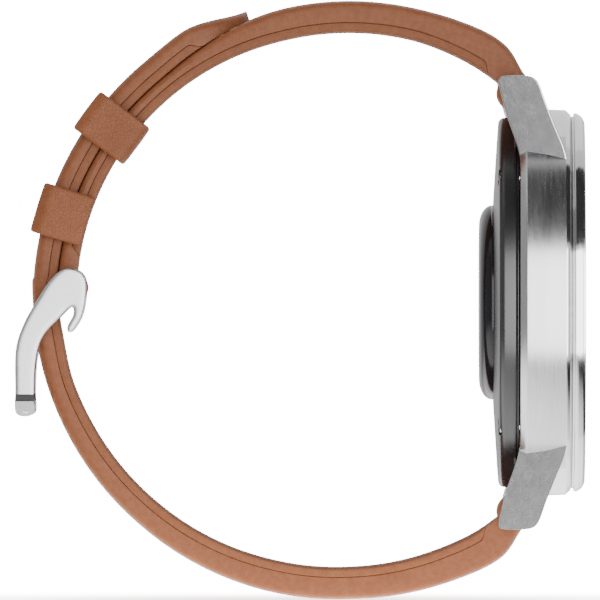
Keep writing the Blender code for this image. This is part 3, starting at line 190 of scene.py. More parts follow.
key = bpy.data.lights.new("key", "AREA")
key.shape = "DISK"
key.size = KEY_SIZE
key.energy = KEY_LIGHT * math.pi * math.pi * (KEY_SIZE / 2) ** 2
key.specular_factor = 0.0
key_light = bpy.data.objects.new("key", key)
scene.collection.objects.link(key_light)
key_light.location = middle + KEY_SIDE * STAGE_REACH
key_light.rotation_euler = (middle - key_light.location).to_track_quat("-Z", "Y").to_euler()
key_light.visible_camera = False
key_light.visible_glossy = False
print("lamp:", round(key.energy, 2), "W")

# %% [markdown]
# ## The floor
# The watch stands on the lowest point of its strap. A small pale disc under it catches the
# contact shadow and fades into the white backdrop, so that no horizon cuts the picture.

# %% Floor
FLOOR_RADIUS = 0.09
FULL_FLOOR = 0.009        # radius within which the paper is not faded at all
FLOOR_GAP = 0.05 * MM     # from the floor up to the strap
FLOOR_GLOW = 3.0          # keeps the paper white under the watch

bpy.ops.mesh.primitive_circle_add(vertices=96, radius=FLOOR_RADIUS, fill_type="NGON",
                                  location=(middle.x, 0.0, cad_low.z - FLOOR_GAP))
floor = bpy.context.object
floor.name = "floor"
paper = bpy.data.materials.new("paper")
paper.use_nodes = True
tree = paper.node_tree
shader = tree.nodes["Principled BSDF"]
shader.inputs["Base Color"].default_value = (0.9, 0.9, 0.9, 1.0)
shader.inputs["Roughness"].default_value = 0.8
shader.inputs["Emission Color"].default_value = (1.0, 1.0, 1.0, 1.0)
shader.inputs["Emission Strength"].default_value = FLOOR_GLOW
where = tree.nodes.new("ShaderNodeTexCoord")
span = tree.nodes.new("ShaderNodeVectorMath")
span.operation = "LENGTH"
fade = tree.nodes.new("ShaderNodeMapRange")
fade.interpolation_type = "SMOOTHSTEP"
fade.inputs["From Min"].default_value = FLOOR_RADIUS
fade.inputs["From Max"].default_value = FULL_FLOOR
tree.links.new(where.outputs["Object"], span.inputs[0])
tree.links.new(span.outputs["Value"], fade.inputs["Value"])
tree.links.new(fade.outputs["Result"], shader.inputs["Alpha"])
floor.data.materials.append(paper)
print("floor at, mm:", round(floor.location.z / MM, 2))

# %% [markdown]
# ## Wiring a finish
# Shader nodes are quick to draw by hand and slow to read in a script. Two small classes help. A
# `Value` is one number that varies over a surface, and sums on it add Math nodes. A `Finish` is
# one material: it makes any other node, and plugs the results into its shader.

# %% A number that varies over a surface
class Value:
    """A number that varies over a surface: one output of a node in a finish."""

    def __init__(self, finish, socket):
        self.finish = finish
        self.socket = socket

    def sum(self, operation, *terms):
        """A Math node on this value and others."""
        return self.finish.node("ShaderNodeMath", {"operation": operation}, dict(enumerate(terms)))

    def __add__(self, other):
        return self.sum("ADD", self, other)

    def __radd__(self, other):
        return self.sum("ADD", other, self)

    def __sub__(self, other):
        return self.sum("SUBTRACT", self, other)

    def __rsub__(self, other):
        return self.sum("SUBTRACT", other, self)

    def __mul__(self, other):
        return self.sum("MULTIPLY", self, other)

    def __rmul__(self, other):
        return self.sum("MULTIPLY", other, self)

    def __pow__(self, other):
        return self.sum("POWER", self, other)

    def __rpow__(self, other):
        return self.sum("POWER", other, self)

    def ramp(self, low, high):
        """0 below low and 1 above high, smooth between, or the other way round."""
        return self.finish.node("ShaderNodeMapRange", {"interpolation_type": "SMOOTHSTEP"},
                                {"Value": self, "From Min": low, "From Max": high})


print("operators on a value:", sum(name.startswith("__r") for name in vars(Value)), "reflected")

# %% A finish
class Finish:
    """One material, wired by calls. Constants go straight to the shader's own sockets."""

    def __init__(self, name, **constants):
        self.material = bpy.data.materials.new(name)
        self.material.use_nodes = True
        self.tree = self.material.node_tree
        self.shader = self.tree.nodes["Principled BSDF"]
        for socket, value in constants.items():
            self.plug(self.shader.inputs[socket.replace("_", " ")], value)

    def plug(self, socket, value):
        """Links a value to a socket, or sets a constant on it."""
        if isinstance(value, Value):
            self.tree.links.new(value.socket, socket)
        elif socket.type == "RGBA":
            socket.default_value = (*value[:3], 1.0)
        else:
            socket.default_value = value

    def node(self, kind, settings=None, inputs=None, output=0):
        """Any node: its settings first, then the values or links of its sockets."""
        made = self.tree.nodes.new(kind)
        for name, value in (settings or {}).items():
            setattr(made, name, value)
        for name, value in (inputs or {}).items():
            self.plug(made.inputs[name], value)
        return Value(self, made.outputs[output])

    def place(self):
        """Object coordinates as one vector."""
        return self.node("ShaderNodeTexCoord", output="Object")

    def parts(self, vector):
        """The three numbers of a vector."""
        split = self.node("ShaderNodeSeparateXYZ", inputs={0: vector})
        outputs = split.socket.node.outputs
        return [Value(self, outputs[i]) for i in range(3)]

    def vector(self, x, y, z):
        """Three numbers as one vector."""
        return self.node("ShaderNodeCombineXYZ", inputs={0: x, 1: y, 2: z})

    def reach(self, y, z):
        """Distance from the dial axis."""
        return (y * y + z * z) ** 0.5

    def turn(self, y, z):
        """Angle round the dial axis."""
        return self.node("ShaderNodeMath", {"operation": "ARCTAN2"}, {0: z, 1: y})

    def attribute(self, name):
        """A number kept on the mesh."""
        return self.node("ShaderNodeAttribute", {"attribute_name": name}, output="Fac")

    def noise(self, scale, detail, vector=None):
        """Soft noise from 0 to 1, with scale in waves a metre."""
        return self.node("ShaderNodeTexNoise", inputs={
            "Vector": vector or self.place(), "Scale": scale, "Detail": detail})

    def streaks(self, scales, detail):
        """Noise with its own scale along X, Y and Z."""
        return self.noise(1.0, detail, self.node(
            "ShaderNodeVectorMath", {"operation": "MULTIPLY"}, {0: self.place(), 1: scales}))

    def cells(self, scale, feature="F1", vector=None):
        """Voronoi cells, with scale in cells a metre."""
        return self.node("ShaderNodeTexVoronoi", {"feature": feature}, {
            "Vector": vector or self.place(), "Scale": scale}, "Distance")

    def mix(self, factor, first, second):
        """From one colour to another."""
        return self.node("ShaderNodeMix", {"data_type": "RGBA"},
                         {0: factor, 6: first, 7: second}, 2)

    def bump(self, height, depth, normal=None):
        """Relief of a depth in metres, on top of another relief if there is one."""
        inputs = {"Height": height, "Distance": depth}
        if normal:
            inputs["Normal"] = normal
        return self.node("ShaderNodeBump", inputs=inputs)

    def wear(self, **links):
        """Plugs what varies into the shader, and gives back the material."""
        for socket, value in links.items():
            self.plug(self.shader.inputs[socket.replace("_", " ")], value)
        return self.material


finishes = {}
print("helpers for finishes are ready")

# %% [markdown]
# ## Steel, turned, brushed and polished
# The side of the case is brushed round the dial: thousands of fine scratches, all running the
# same way. Noise stretched along them gives the same look, in the relief, the roughness and the
# grey. It reads the distance along and round the dial axis, so the lines close on themselves.
# Polished edges keep only the haze of a cloth. The buckle is cast and tumbled, so its skin is
# duller, with small pits, and the parts inside are drawn or pressed from spring steel.

# %% Brushed steel
STEEL = (0.56, 0.56, 0.57)
STEEL_DARK = (0.40, 0.40, 0.41)
SCRATCHES = 7000.0            # in a metre, across the brushing
BANDS = 900.0                 # broader bands in a metre, which catch the light together
GLOSSIEST = 0.17
DULLEST = 0.33

brushed = Finish("brushed_steel", Metallic=1.0)
x, y, z = brushed.parts(brushed.place())
radius = brushed.reach(y, z)
turn = brushed.turn(y, z)
lines = brushed.noise(1.0, 3.0, brushed.vector(x * SCRATCHES, radius * SCRATCHES, turn * 9.0))
broad = brushed.noise(1.0, 1.0, brushed.vector(x * BANDS, radius * BANDS, turn * 2.0))
grain = lines * 0.7 + broad * 0.3
finishes["brushed_steel"] = brushed.wear(
    Base_Color=brushed.mix(grain, STEEL_DARK, STEEL),
    Roughness=grain * (DULLEST - GLOSSIEST) + GLOSSIEST,
    Normal=brushed.bump(lines, 0.004 * MM))
print("brushed steel:", len(finishes["brushed_steel"].node_tree.nodes), "nodes")

# %% Polished, cast and spring steel
polished = Finish("polished_steel", Metallic=1.0)
haze = polished.noise(420.0, 4.0)
hairs = polished.streaks((900.0, 5200.0, 700.0), 2.0)
finishes["polished_steel"] = polished.wear(
    Base_Color=polished.mix(haze, (0.60, 0.60, 0.61), (0.70, 0.70, 0.71)),
    Roughness=haze * 0.07 + hairs * 0.05 + 0.04,
    Normal=polished.bump(hairs, 0.0012 * MM))

cast = Finish("cast_steel", Metallic=1.0)
tumbled = cast.noise(1600.0, 4.0)
pits = cast.noise(5200.0, 2.0)
finishes["cast_steel"] = cast.wear(
    Base_Color=cast.mix(tumbled, (0.42, 0.42, 0.43), (0.56, 0.56, 0.57)),
    Roughness=tumbled * 0.12 + 0.36,
    Normal=cast.bump(pits, 0.003 * MM))

spring = Finish("spring_steel", Metallic=1.0)
drawn = spring.streaks((6000.0, 500.0, 6000.0), 3.0)
finishes["spring_steel"] = spring.wear(
    Base_Color=spring.mix(drawn, (0.30, 0.30, 0.31), (0.50, 0.49, 0.48)),
    Roughness=drawn * 0.2 + 0.2,
    Normal=spring.bump(drawn, 0.003 * MM))
print("steels:", [name for name in finishes if name.endswith("steel")])

# %% [markdown]
# ## Black parts
# The ring round the glass is black ceramic with a fine satin. The back cover is a gloss black
# shell, which shows its shape only by its highlights, with faint orange peel from its mould.
# Seals are matt rubber, and the tubes and frames inside are moulded plastic with a spark grain.

# %% Ceramic, gloss, rubber and plastic
ceramic = Finish("black_ceramic", IOR=1.9)
spots = ceramic.noise(5200.0, 2.0)
sheen = ceramic.noise(260.0, 2.0)
finishes["black_ceramic"] = ceramic.wear(
    Base_Color=ceramic.mix(spots, (0.008, 0.008, 0.009), (0.022, 0.022, 0.024)),
    Roughness=sheen * 0.12 + 0.16,
    Normal=ceramic.bump(spots, 0.002 * MM))

gloss = Finish("black_gloss", IOR=1.6, Coat_Roughness=0.05)
peel = gloss.noise(900.0, 2.0)
touch = gloss.noise(140.0, 3.0)
finishes["black_gloss"] = gloss.wear(
    Base_Color=gloss.mix(touch, (0.006, 0.006, 0.007), (0.016, 0.016, 0.017)),
    Roughness=touch * 0.14 + 0.22,
    Coat_Weight=touch * 0.1,
    Normal=gloss.bump(peel, 0.006 * MM))

rubber = Finish("black_rubber")
bloom = rubber.noise(3800.0, 3.0)
finishes["black_rubber"] = rubber.wear(
    Base_Color=rubber.mix(bloom, (0.010, 0.010, 0.010), (0.030, 0.030, 0.029)),
    Roughness=bloom * 0.2 + 0.62,
    Normal=rubber.bump(bloom, 0.010 * MM))

plastic = Finish("black_plastic")
spark = plastic.cells(5200.0)
finishes["black_plastic"] = plastic.wear(
    Base_Color=plastic.mix(spark, (0.014, 0.014, 0.015), (0.034, 0.034, 0.036)),
    Roughness=spark * 0.25 + 0.38,
    Normal=plastic.bump(spark, 0.008 * MM))
print("black finishes:", [name for name in finishes if name.startswith("black")])

# %% [markdown]
# ## Glass and the lit display
# The front glass is clear, so its colour comes from what lies under it. The display shows a plain
# generic dial: a soft blue-grey ground that darkens to its rim, with a faint sunburst. Under the
# dark window on the back lie the optics: a hub and a ring of four cells on a black film.

# %% Glass
glass = Finish("front_glass", Transmission_Weight=1.0, IOR=1.46)
smear = glass.noise(90.0, 3.0)
finishes["front_glass"] = glass.wear(
    Base_Color=glass.mix(smear, (0.96, 0.97, 0.98), (1.0, 1.0, 1.0)),
    Roughness=smear * 0.03)
print("glass:", finishes["front_glass"].name)

# %% Display and sensor optics
FACE_RADIUS = 16.3 * MM
FACE_DARK = (0.004, 0.006, 0.010)
FACE_LIGHT = (0.05, 0.09, 0.14)

screen = Finish("display_face", Roughness=0.3, Emission_Strength=0.55)
x, y, z = screen.parts(screen.place())
sunburst = screen.noise(1.0, 3.0, screen.vector(screen.turn(y, z) * 14.0, 0.0, 0.0))
rim_shade = (screen.reach(y, z) * (1.0 / FACE_RADIUS)).ramp(1.02, 0.25)
face = screen.mix(rim_shade * (sunburst * 0.5 + 0.6), FACE_DARK, FACE_LIGHT)
finishes["display_face"] = screen.wear(Base_Color=face, Emission_Color=face)

HUB_RADIUS = 2.5 * MM
CELLS_FROM = 5.15 * MM
CELLS_TO = 7.85 * MM
SOFT = 0.05 * MM              # half the width of the blur at each line

optics = Finish("window_glass", IOR=1.5, Specular_IOR_Level=0.3)
x, y, z = optics.parts(optics.place())
reach = optics.reach(y, z)
hub = reach.ramp(HUB_RADIUS + SOFT, HUB_RADIUS - SOFT)
ring = reach.ramp(CELLS_FROM - SOFT, CELLS_FROM + SOFT) * reach.ramp(
    CELLS_TO + SOFT, CELLS_TO - SOFT)
waves = optics.node("ShaderNodeMath", {"operation": "SINE"}, {0: optics.turn(y, z) * 4.0})
cell = hub + ring * waves.ramp(-0.72, -0.60)
grid = optics.cells(5200.0)
film = optics.noise(700.0, 3.0)
finishes["window_glass"] = optics.wear(
    Base_Color=optics.mix(cell, optics.mix(film, (0.006, 0.006, 0.008), (0.012, 0.012, 0.014)),
                          optics.mix(grid, (0.020, 0.045, 0.040), (0.055, 0.030, 0.050))),
    Roughness=film * 0.06 + 0.12,
    Normal=optics.bump(film, 0.002 * MM))
print("dial radius, mm:", round(FACE_RADIUS / MM, 1), "sensor hub, mm:", round(HUB_RADIUS / MM, 1))

# %% [markdown]
# ## What is inside
# Nobody sees the electronics unless the watch is opened, but the model has them, so each has its
# own finish: a green board with lands of tin, wound copper, crinkled battery foil and a sheet
# steel can. All of them are built from cells, waves and noise at the size of the real detail.

# %% Circuit board, copper and foil
board = Finish("circuit_board", IOR=1.5)
tracks = board.cells(1500.0, "DISTANCE_TO_EDGE")
lands = board.cells(900.0).ramp(0.26, 0.20)
weave = board.noise(6000.0, 2.0)
mask = board.mix(tracks.ramp(0.04, 0.09), (0.010, 0.075, 0.040), (0.004, 0.030, 0.018))
finishes["circuit_board"] = board.wear(
    Base_Color=board.mix(lands, mask, (0.60, 0.55, 0.42)),
    Metallic=lands,
    Roughness=weave * 0.2 + 0.28,
    Normal=board.bump(tracks.ramp(0.09, 0.04) + lands, 0.02 * MM))

copper = Finish("copper", Metallic=1.0)
x, y, z = copper.parts(copper.place())
turns = copper.node("ShaderNodeMath", {"operation": "SINE"}, {0: copper.reach(y, z) * 38000.0})
tarnish = copper.noise(700.0, 3.0)
finishes["copper"] = copper.wear(
    Base_Color=copper.mix(tarnish, (0.72, 0.28, 0.14), (0.95, 0.46, 0.26)),
    Roughness=tarnish * 0.2 + 0.22,
    Normal=copper.bump(turns, 0.03 * MM))

foil = Finish("battery_foil", Metallic=0.9)
crinkle = foil.noise(520.0, 5.0)
finishes["battery_foil"] = foil.wear(
    Base_Color=foil.mix(crinkle, (0.42, 0.43, 0.45), (0.62, 0.62, 0.63)),
    Roughness=crinkle * 0.25 + 0.25,
    Normal=foil.bump(crinkle, 0.06 * MM))
print("finishes inside:", list(finishes)[-3:])

# %% [markdown]
# ## Leather
# The strap is full-grain calf in a mid tan. Its colour wanders softly from place to place, its
# grain is a net of fine creases about half a millimetre apart with pores between them, and its
# edges are cut, sanded and painted a shade darker. The mesh carries a number of its own:
# `edge` is 1 on a cut edge and 0 on the faces. One function makes both leathers, so that they stay
# one family.

# %% Leather
TAN_LIGHT = (0.285, 0.098, 0.040)
TAN_DEEP = (0.195, 0.060, 0.021)
TAN_EDGE = (0.265, 0.092, 0.038)
LINING_LIGHT = (0.27, 0.096, 0.040)
LINING_DEEP = (0.19, 0.062, 0.024)


def leather(name, light, deep, grain_size, grain_depth, roughness):
    """Calf leather, with its painted edges where the mesh says so."""
    finish = Finish(name, Specular_IOR_Level=0.16)
    edge = finish.attribute("edge")
    drift = finish.noise(95.0, 4.0)
    blush = finish.noise(650.0, 3.0)
    warped = finish.node("ShaderNodeVectorMath", {"operation": "ADD"}, {
        0: finish.place(),
        1: finish.node("ShaderNodeVectorMath", {"operation": "SCALE"}, {
            0: finish.node("ShaderNodeTexNoise", inputs={
                "Vector": finish.place(), "Scale": 900.0}, output="Color"),
            "Scale": 0.5 * MM})})
    crease = finish.cells(grain_size, "DISTANCE_TO_EDGE", warped).ramp(0.16, 0.0)
    pores = finish.cells(grain_size * 2.7).ramp(0.22, 0.08)
    skin = finish.mix((drift * 0.65 + blush * 0.35).ramp(0.30, 0.70), deep, light)
    # The creases and pores of the grain are painted darker: painted shade in those hollows.
    grain_with_painted_shade = finish.mix(crease * 0.45 + pores * 0.25, skin, deep)
    fibres = finish.streaks((1500.0, 1500.0, 1500.0), 3.0)
    paint = finish.mix(fibres.ramp(0.25, 0.75) * 0.6 + drift * 0.4, deep, TAN_EDGE)
    relief = finish.bump((1.0 - crease) * (1.0 - edge) + fibres * edge * 0.6, grain_depth)
    fine = finish.bump(pores * (1.0 - edge), -0.4 * grain_depth, relief)
    return finish.wear(
        Base_Color=finish.mix(edge * 0.9, grain_with_painted_shade, paint),
        Roughness=blush * 0.16 + roughness,
        Normal=fine)


finishes["tan_leather"] = leather("tan_leather", TAN_LIGHT, TAN_DEEP, 2400.0, 0.02 * MM, 0.46)
finishes["tan_lining"] = leather("tan_lining", LINING_LIGHT, LINING_DEEP, 3600.0, 0.015 * MM, 0.55)
print("leathers:", [name for name in finishes if name.startswith("tan")])

# %% Thread, dial ink and etched lines
INK_DIM = (0.62, 0.64, 0.66)
INK_BRIGHT = (0.80, 0.81, 0.82)

thread = Finish("thread", Sheen_Weight=0.2)
ply = thread.noise(3500.0, 2.0)
finishes["thread"] = thread.wear(
    Base_Color=thread.mix(ply, (0.24, 0.085, 0.036), (0.42, 0.17, 0.08)),
    Roughness=ply * 0.2 + 0.55,
    Normal=thread.bump(ply, 0.03 * MM))

ink = Finish("dial_ink", Emission_Strength=0.9, Roughness=0.4)
lit = ink.mix(ink.noise(4000.0, 1.0), INK_DIM, INK_BRIGHT)
finishes["dial_ink"] = ink.wear(Base_Color=lit, Emission_Color=lit)

etched = Finish("etched_mark", Metallic=0.6)
grit = etched.noise(6000.0, 2.0)
finishes["etched_mark"] = etched.wear(
    Base_Color=etched.mix(grit, (0.30, 0.30, 0.31), (0.46, 0.46, 0.47)),
    Roughness=grit * 0.2 + 0.35)
print("finishes in all:", len(finishes))

# %% [markdown]
# ## Dressing the frame
# Before any new piece is made, every CAD solid gets the finish of its own material slot. Those
# that stay hidden in the case keep their CAD shape, and the visible ones are replaced below.

# %% Finishes on the CAD nodes
for node in nodes.values():
    for slot in node.material_slots:
        slot.material = finishes[slot.material.name.removeprefix("cad_")]
nodes["display_panel"].material_slots[0].material = finishes["display_face"]
print("CAD nodes dressed:", len(nodes))

# %% [markdown]
# ## Tools for shapes
# Three ways of making a shape cover nearly the whole watch. A turned piece is a profile spun
# about an axis, and a rod is the plainest of them. A cut piece is a side outline given a width. A
# lofted piece is a row of closed rings skinned together, for leather. Real edges are never sharp,
# so profiles have their corners eased and cut pieces get a Bevel, and Weighted Normal then keeps
# the flats looking flat.

# %% Helpers for outlines and skins
EASE_SHARE = 0.45             # of an edge, the most that an eased corner takes from it


def eased(points, radius, steps=4, closed=True):
    """An outline with its corners rounded, by less where its edges are short."""
    result = []
    last = len(points) - 1
    for i, point in enumerate(points):
        if not closed and i in (0, last):
            result.append(tuple(point))
            continue
        corner = Vector(point)
        back = Vector(points[i - 1]) - corner
        ahead = Vector(points[(i + 1) % len(points)]) - corner
        start = corner + back.normalized() * min(radius, EASE_SHARE * back.length)
        end = corner + ahead.normalized() * min(radius, EASE_SHARE * ahead.length)
        for step in range(steps + 1):
            t = step / steps
            result.append(tuple(start * (1 - t) ** 2 + corner * (2 * t * (1 - t)) + end * t * t))
    return result


def new_piece(name, bm, *finish_names):
    """A new object from edited mesh data, with its finishes in slots."""
    bmesh.ops.recalc_face_normals(bm, faces=bm.faces)
    mesh = bpy.data.meshes.new(name)
    bm.to_mesh(mesh)
    bm.free()
    obj = bpy.data.objects.new(name, mesh)
    scene.collection.objects.link(obj)
    for finish_name in finish_names:
        mesh.materials.append(finishes[finish_name])
    return obj


def skin(bm, rings, closed_row=False):
    """Skins rings of vertices, of one vertex or all of one count, and caps the two ends."""
    pairs = list(zip(rings, rings[1:]))
    if closed_row:
        pairs.append((rings[-1], rings[0]))
    for low, high in pairs:
        count = max(len(low), len(high))
        for i in range(count):
            j = (i + 1) % count
            corners = list(dict.fromkeys((low[i % len(low)], low[j % len(low)],
                                          high[j % len(high)], high[i % len(high)])))
            if len(corners) > 2:
                bm.faces.new(corners)
    if not closed_row:
        for ring in (rings[0], rings[-1]):
            if len(ring) > 2:
                bm.faces.new(ring)


square = [(0, 0), (1, 0), (1, 1), (0, 1)]
print("a square's corners, eased, have", len(eased(square, 0.1)), "places")

# %% Helpers for turned, cut and boxy pieces
POLE = 0.001 * MM             # a ring smaller than this is closed to one vertex


def turned(name, profile, *finish_names, sides=160, closed=True):
    """A profile of (distance, radius) places, spun about the +X axis."""
    bm = bmesh.new()
    angles = [math.tau * i / sides for i in range(sides)]
    rings = [[bm.verts.new((along, radius * math.cos(a), radius * math.sin(a)))
              for a in (angles if radius > POLE else angles[:1])] for along, radius in profile]
    skin(bm, rings, closed_row=closed)
    return new_piece(name, bm, *finish_names)


def rod(name, start, end, radius, *finish_names, sides, corner=0.0, steps=4):
    """A round bar along +X between two distances, with the corners of its ends eased."""
    profile = [(start, 0.0), (start, radius), (end, radius), (end, 0.0)]
    if corner:
        profile = eased(profile, corner, steps, closed=False)
    return turned(name, profile, *finish_names, sides=sides, closed=False)


def cut_out(name, outline, near, far, *finish_names, draft=0.0):
    """A side outline of (x, z) places between two widths, the far side leaning in by a draft."""
    bm = bmesh.new()
    widest = max(x for x, z in outline)
    skin(bm, [[bm.verts.new((x, near, z)) for x, z in outline],
              [bm.verts.new((x, far - draft * (widest - x), z)) for x, z in outline]])
    return new_piece(name, bm, *finish_names)


def block(size, matrix, *finish_names):
    """A plain box, mostly used as a cutter."""
    bm = bmesh.new()
    bmesh.ops.create_cube(bm, size=1.0, matrix=matrix @ Matrix.Diagonal((*size, 1)))
    return new_piece("block", bm, *finish_names)


def across(place, hand=1):
    """The turn and shift that take +X to the side at a place in the side view."""
    return Matrix.Translation(place) @ Matrix.Rotation(hand * 90 * DEG, 4, "Z")


print("cutters and bars are ready")

# %% Helpers for finishing a piece
def add_modifier(obj, kind, **settings):
    """A modifier with its settings."""
    modifier = obj.modifiers.new(kind.lower(), kind)
    for name, value in settings.items():
        setattr(modifier, name, value)
    return obj


def settle(obj):
    """Turns a piece and its modifiers into one plain mesh."""
    graph = bpy.context.evaluated_depsgraph_get()
    mesh = bpy.data.meshes.new_from_object(
        obj.evaluated_get(graph), preserve_all_data_layers=True, depsgraph=graph)
    obj.modifiers.clear()
    obj.data = mesh
    return obj


def bevelled(obj, width, segments=3, angle=30.0):
    """Rounds the sharp edges of a piece."""
    return settle(add_modifier(obj, "BEVEL", width=width, segments=segments,
                               limit_method="ANGLE", angle_limit=angle * DEG))


def combined(obj, other, operation):
    """Adds a second piece to the first or cuts it away, and uses it up."""
    add_modifier(obj, "BOOLEAN", operation=operation, solver="MANIFOLD", object=other)
    settle(obj)
    bpy.data.objects.remove(other)
    return obj


def joined(obj, others):
    """Puts the meshes of other pieces into the first one as they are."""
    for other in others:
        if other.data.materials and other.data.materials[0].name not in obj.data.materials:
            obj.data.materials.append(other.data.materials[0])
    bm = bmesh.new()
    bm.from_mesh(obj.data)
    for other in others:
        before = len(bm.faces)
        bm.from_mesh(other.data)
        bm.faces.ensure_lookup_table()
        place = 0
        if other.data.materials:
            place = obj.data.materials.find(other.data.materials[0].name)
        for face in bm.faces[before:]:
            face.material_index = place
        bpy.data.objects.remove(other)
    bm.to_mesh(obj.data)
    bm.free()
    return obj


def moved(obj, matrix):
    """Places a piece by its mesh, so that its object stays at the origin."""
    obj.data.transform(matrix)
    return obj


def polished_faces(obj, test):
    """Gives the second finish to the faces that a test picks."""
    for face in obj.data.polygons:
        if test(face):
            face.material_index = 1
    return obj


def placed(obj, body, *stands_for, slot=None, crease=38.0):
    """The last step of a piece: smooth faces, its body, and the CAD nodes it stands for."""
    obj.data.shade_smooth()
    obj.data.set_sharp_from_angle(angle=crease * DEG)
    settle(add_modifier(obj, "WEIGHTED_NORMAL", keep_sharp=True, weight=80))
    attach(obj, body)
    if stands_for:
        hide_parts(*stands_for)
    print("%-16s on %-12s %6d faces" % (obj.name, body, len(obj.data.polygons)))
    return obj


print("every piece ends in placed()")

# %% [markdown]
# ## Geometry Nodes for what repeats
# Minute lines, knurls and stitches are one small shape, set down many times. Each is a tree with
# named inputs. `ring_of` sets a shape round a circle, and `run_of` sets it along a line, turned to
# follow it. Both end in Realize Instances and Set Material, and the result is kept as a mesh.

# %% A class for rules
class Rule:
    """A Geometry Nodes tree, wired by calls, with named inputs."""

    def __init__(self, name, **inputs):
        self.tree = bpy.data.node_groups.new(name, "GeometryNodeTree")
        face = self.tree.interface
        face.new_socket("Geometry", in_out="INPUT", socket_type="NodeSocketGeometry")
        self.sockets = {key: face.new_socket(key, in_out="INPUT", socket_type=kind).identifier
                        for key, kind in inputs.items()}
        face.new_socket("Geometry", in_out="OUTPUT", socket_type="NodeSocketGeometry")
        self.start = self.tree.nodes.new("NodeGroupInput")
        self.end = self.tree.nodes.new("NodeGroupOutput")

    def node(self, kind, settings=None, inputs=None):
        """Any node: its settings first, then its values or links."""
        made = self.tree.nodes.new(kind)
        for name, value in (settings or {}).items():
            setattr(made, name, value)
        for name, value in (inputs or {}).items():
            if isinstance(value, bpy.types.NodeSocket):
                self.tree.links.new(value, made.inputs[name])
            else:
                made.inputs[name].default_value = value
        return made

    def close(self, instances):
        """Realize Instances, Set Material, and the way out."""
        real = self.node("GeometryNodeRealizeInstances", inputs={0: instances})
        painted = self.node("GeometryNodeSetMaterial", inputs={
            "Geometry": real.outputs[0], "Material": self.start.outputs["Finish"]})
        self.tree.links.new(painted.outputs[0], self.end.inputs[0])


print("a rule ends in Realize Instances and Set Material")

# %% The two rules
ring_rule = Rule("ring_of", Count="NodeSocketInt", Radius="NodeSocketFloat",
                 Shape="NodeSocketObject", Finish="NodeSocketMaterial")
circle = ring_rule.node("GeometryNodeMeshCircle", inputs={
    "Vertices": ring_rule.start.outputs["Count"], "Radius": ring_rule.start.outputs["Radius"]})
shape = ring_rule.node("GeometryNodeObjectInfo", inputs={0: ring_rule.start.outputs["Shape"]})
outward = ring_rule.node("GeometryNodeInputPosition")
facing = ring_rule.node("FunctionNodeAlignRotationToVector", {"axis": "X"},
                        {"Vector": outward.outputs[0]})
set_down = ring_rule.node("GeometryNodeInstanceOnPoints", inputs={
    "Points": circle.outputs[0], "Instance": shape.outputs["Geometry"],
    "Rotation": facing.outputs[0]})
ring_rule.close(set_down.outputs[0])

run_rule = Rule("run_of", Pitch="NodeSocketFloat", Centre="NodeSocketVector",
                Shape="NodeSocketObject", Finish="NodeSocketMaterial")
line = run_rule.node("GeometryNodeMeshToCurve", inputs={0: run_rule.start.outputs["Geometry"]})
evenly = run_rule.node("GeometryNodeCurveToPoints", {"mode": "LENGTH"}, {
    "Curve": line.outputs[0], "Length": run_rule.start.outputs["Pitch"]})
place = run_rule.node("GeometryNodeInputPosition")
upward = run_rule.node("ShaderNodeVectorMath", {"operation": "SUBTRACT"}, {
    0: place.outputs[0], 1: run_rule.start.outputs["Centre"]})
facing = run_rule.node("FunctionNodeAxesToRotation",
                       {"primary_axis": "X", "secondary_axis": "Z"},
                       {"Primary Axis": evenly.outputs["Tangent"],
                        "Secondary Axis": upward.outputs[0]})
shape = run_rule.node("GeometryNodeObjectInfo", inputs={0: run_rule.start.outputs["Shape"]})
set_down = run_rule.node("GeometryNodeInstanceOnPoints", inputs={
    "Points": evenly.outputs["Points"], "Instance": shape.outputs["Geometry"],
    "Rotation": facing.outputs[0]})
run_rule.close(set_down.outputs[0])
print("rules:", ring_rule.tree.name, run_rule.tree.name)


# %% Helpers for repeated shapes
def by_rule(name, rule, start, **inputs):
    """Runs a tree on a starting mesh, and keeps its result as one plain mesh."""
    mesh = bpy.data.meshes.new(name)
    start.to_mesh(mesh)
    start.free()
    obj = bpy.data.objects.new(name, mesh)
    scene.collection.objects.link(obj)
    modifier = obj.modifiers.new(rule.tree.name, "NODES")
    modifier.node_group = rule.tree
    for key, value in inputs.items():
        modifier[rule.sockets[key]] = value
    obj.update_tag()
    return settle(obj)


def ring_of(name, shape, count, radius, finish_name):
    """A shape repeated round the +X axis, its own +X outwards and its own +Z along the axis."""
    obj = by_rule(name, ring_rule, bmesh.new(), Count=count, Radius=radius, Shape=shape,
                  Finish=finishes[finish_name])
    bpy.data.objects.remove(shape)
    return moved(obj, Matrix.Rotation(90 * DEG, 4, "Y"))


def run_of(name, shape, paths, pitch, centre, finish_name):
    """A shape repeated along lines of places, its own +X along each and +Z away from a centre."""
    bm = bmesh.new()
    for path in paths:
        row = [bm.verts.new(point) for point in path]
        for start, end in zip(row, row[1:]):
            bm.edges.new((start, end))
    obj = by_rule(name, run_rule, bm, Pitch=pitch, Centre=centre, Shape=shape,
                  Finish=finishes[finish_name])
    bpy.data.objects.remove(shape)
    return obj


BLUNTNESS = 0.6               # 1 would leave a pebble round, and less makes its ends blunt


def pebble(length, width, height, finish_name, sides=8):
    """A small rounded bar along +X, for stitches, ticks and knurls."""
    bm = bmesh.new()
    bmesh.ops.create_uvsphere(bm, u_segments=sides, v_segments=5, radius=0.5)
    for vert in bm.verts:
        x, y, z = vert.co
        vert.co = (math.copysign(abs(z * 2) ** BLUNTNESS, z) * length / 2, x * width, y * height)
    return new_piece("pebble", bm, finish_name)


print("a pebble serves for ticks, hands, stitches and knurls")

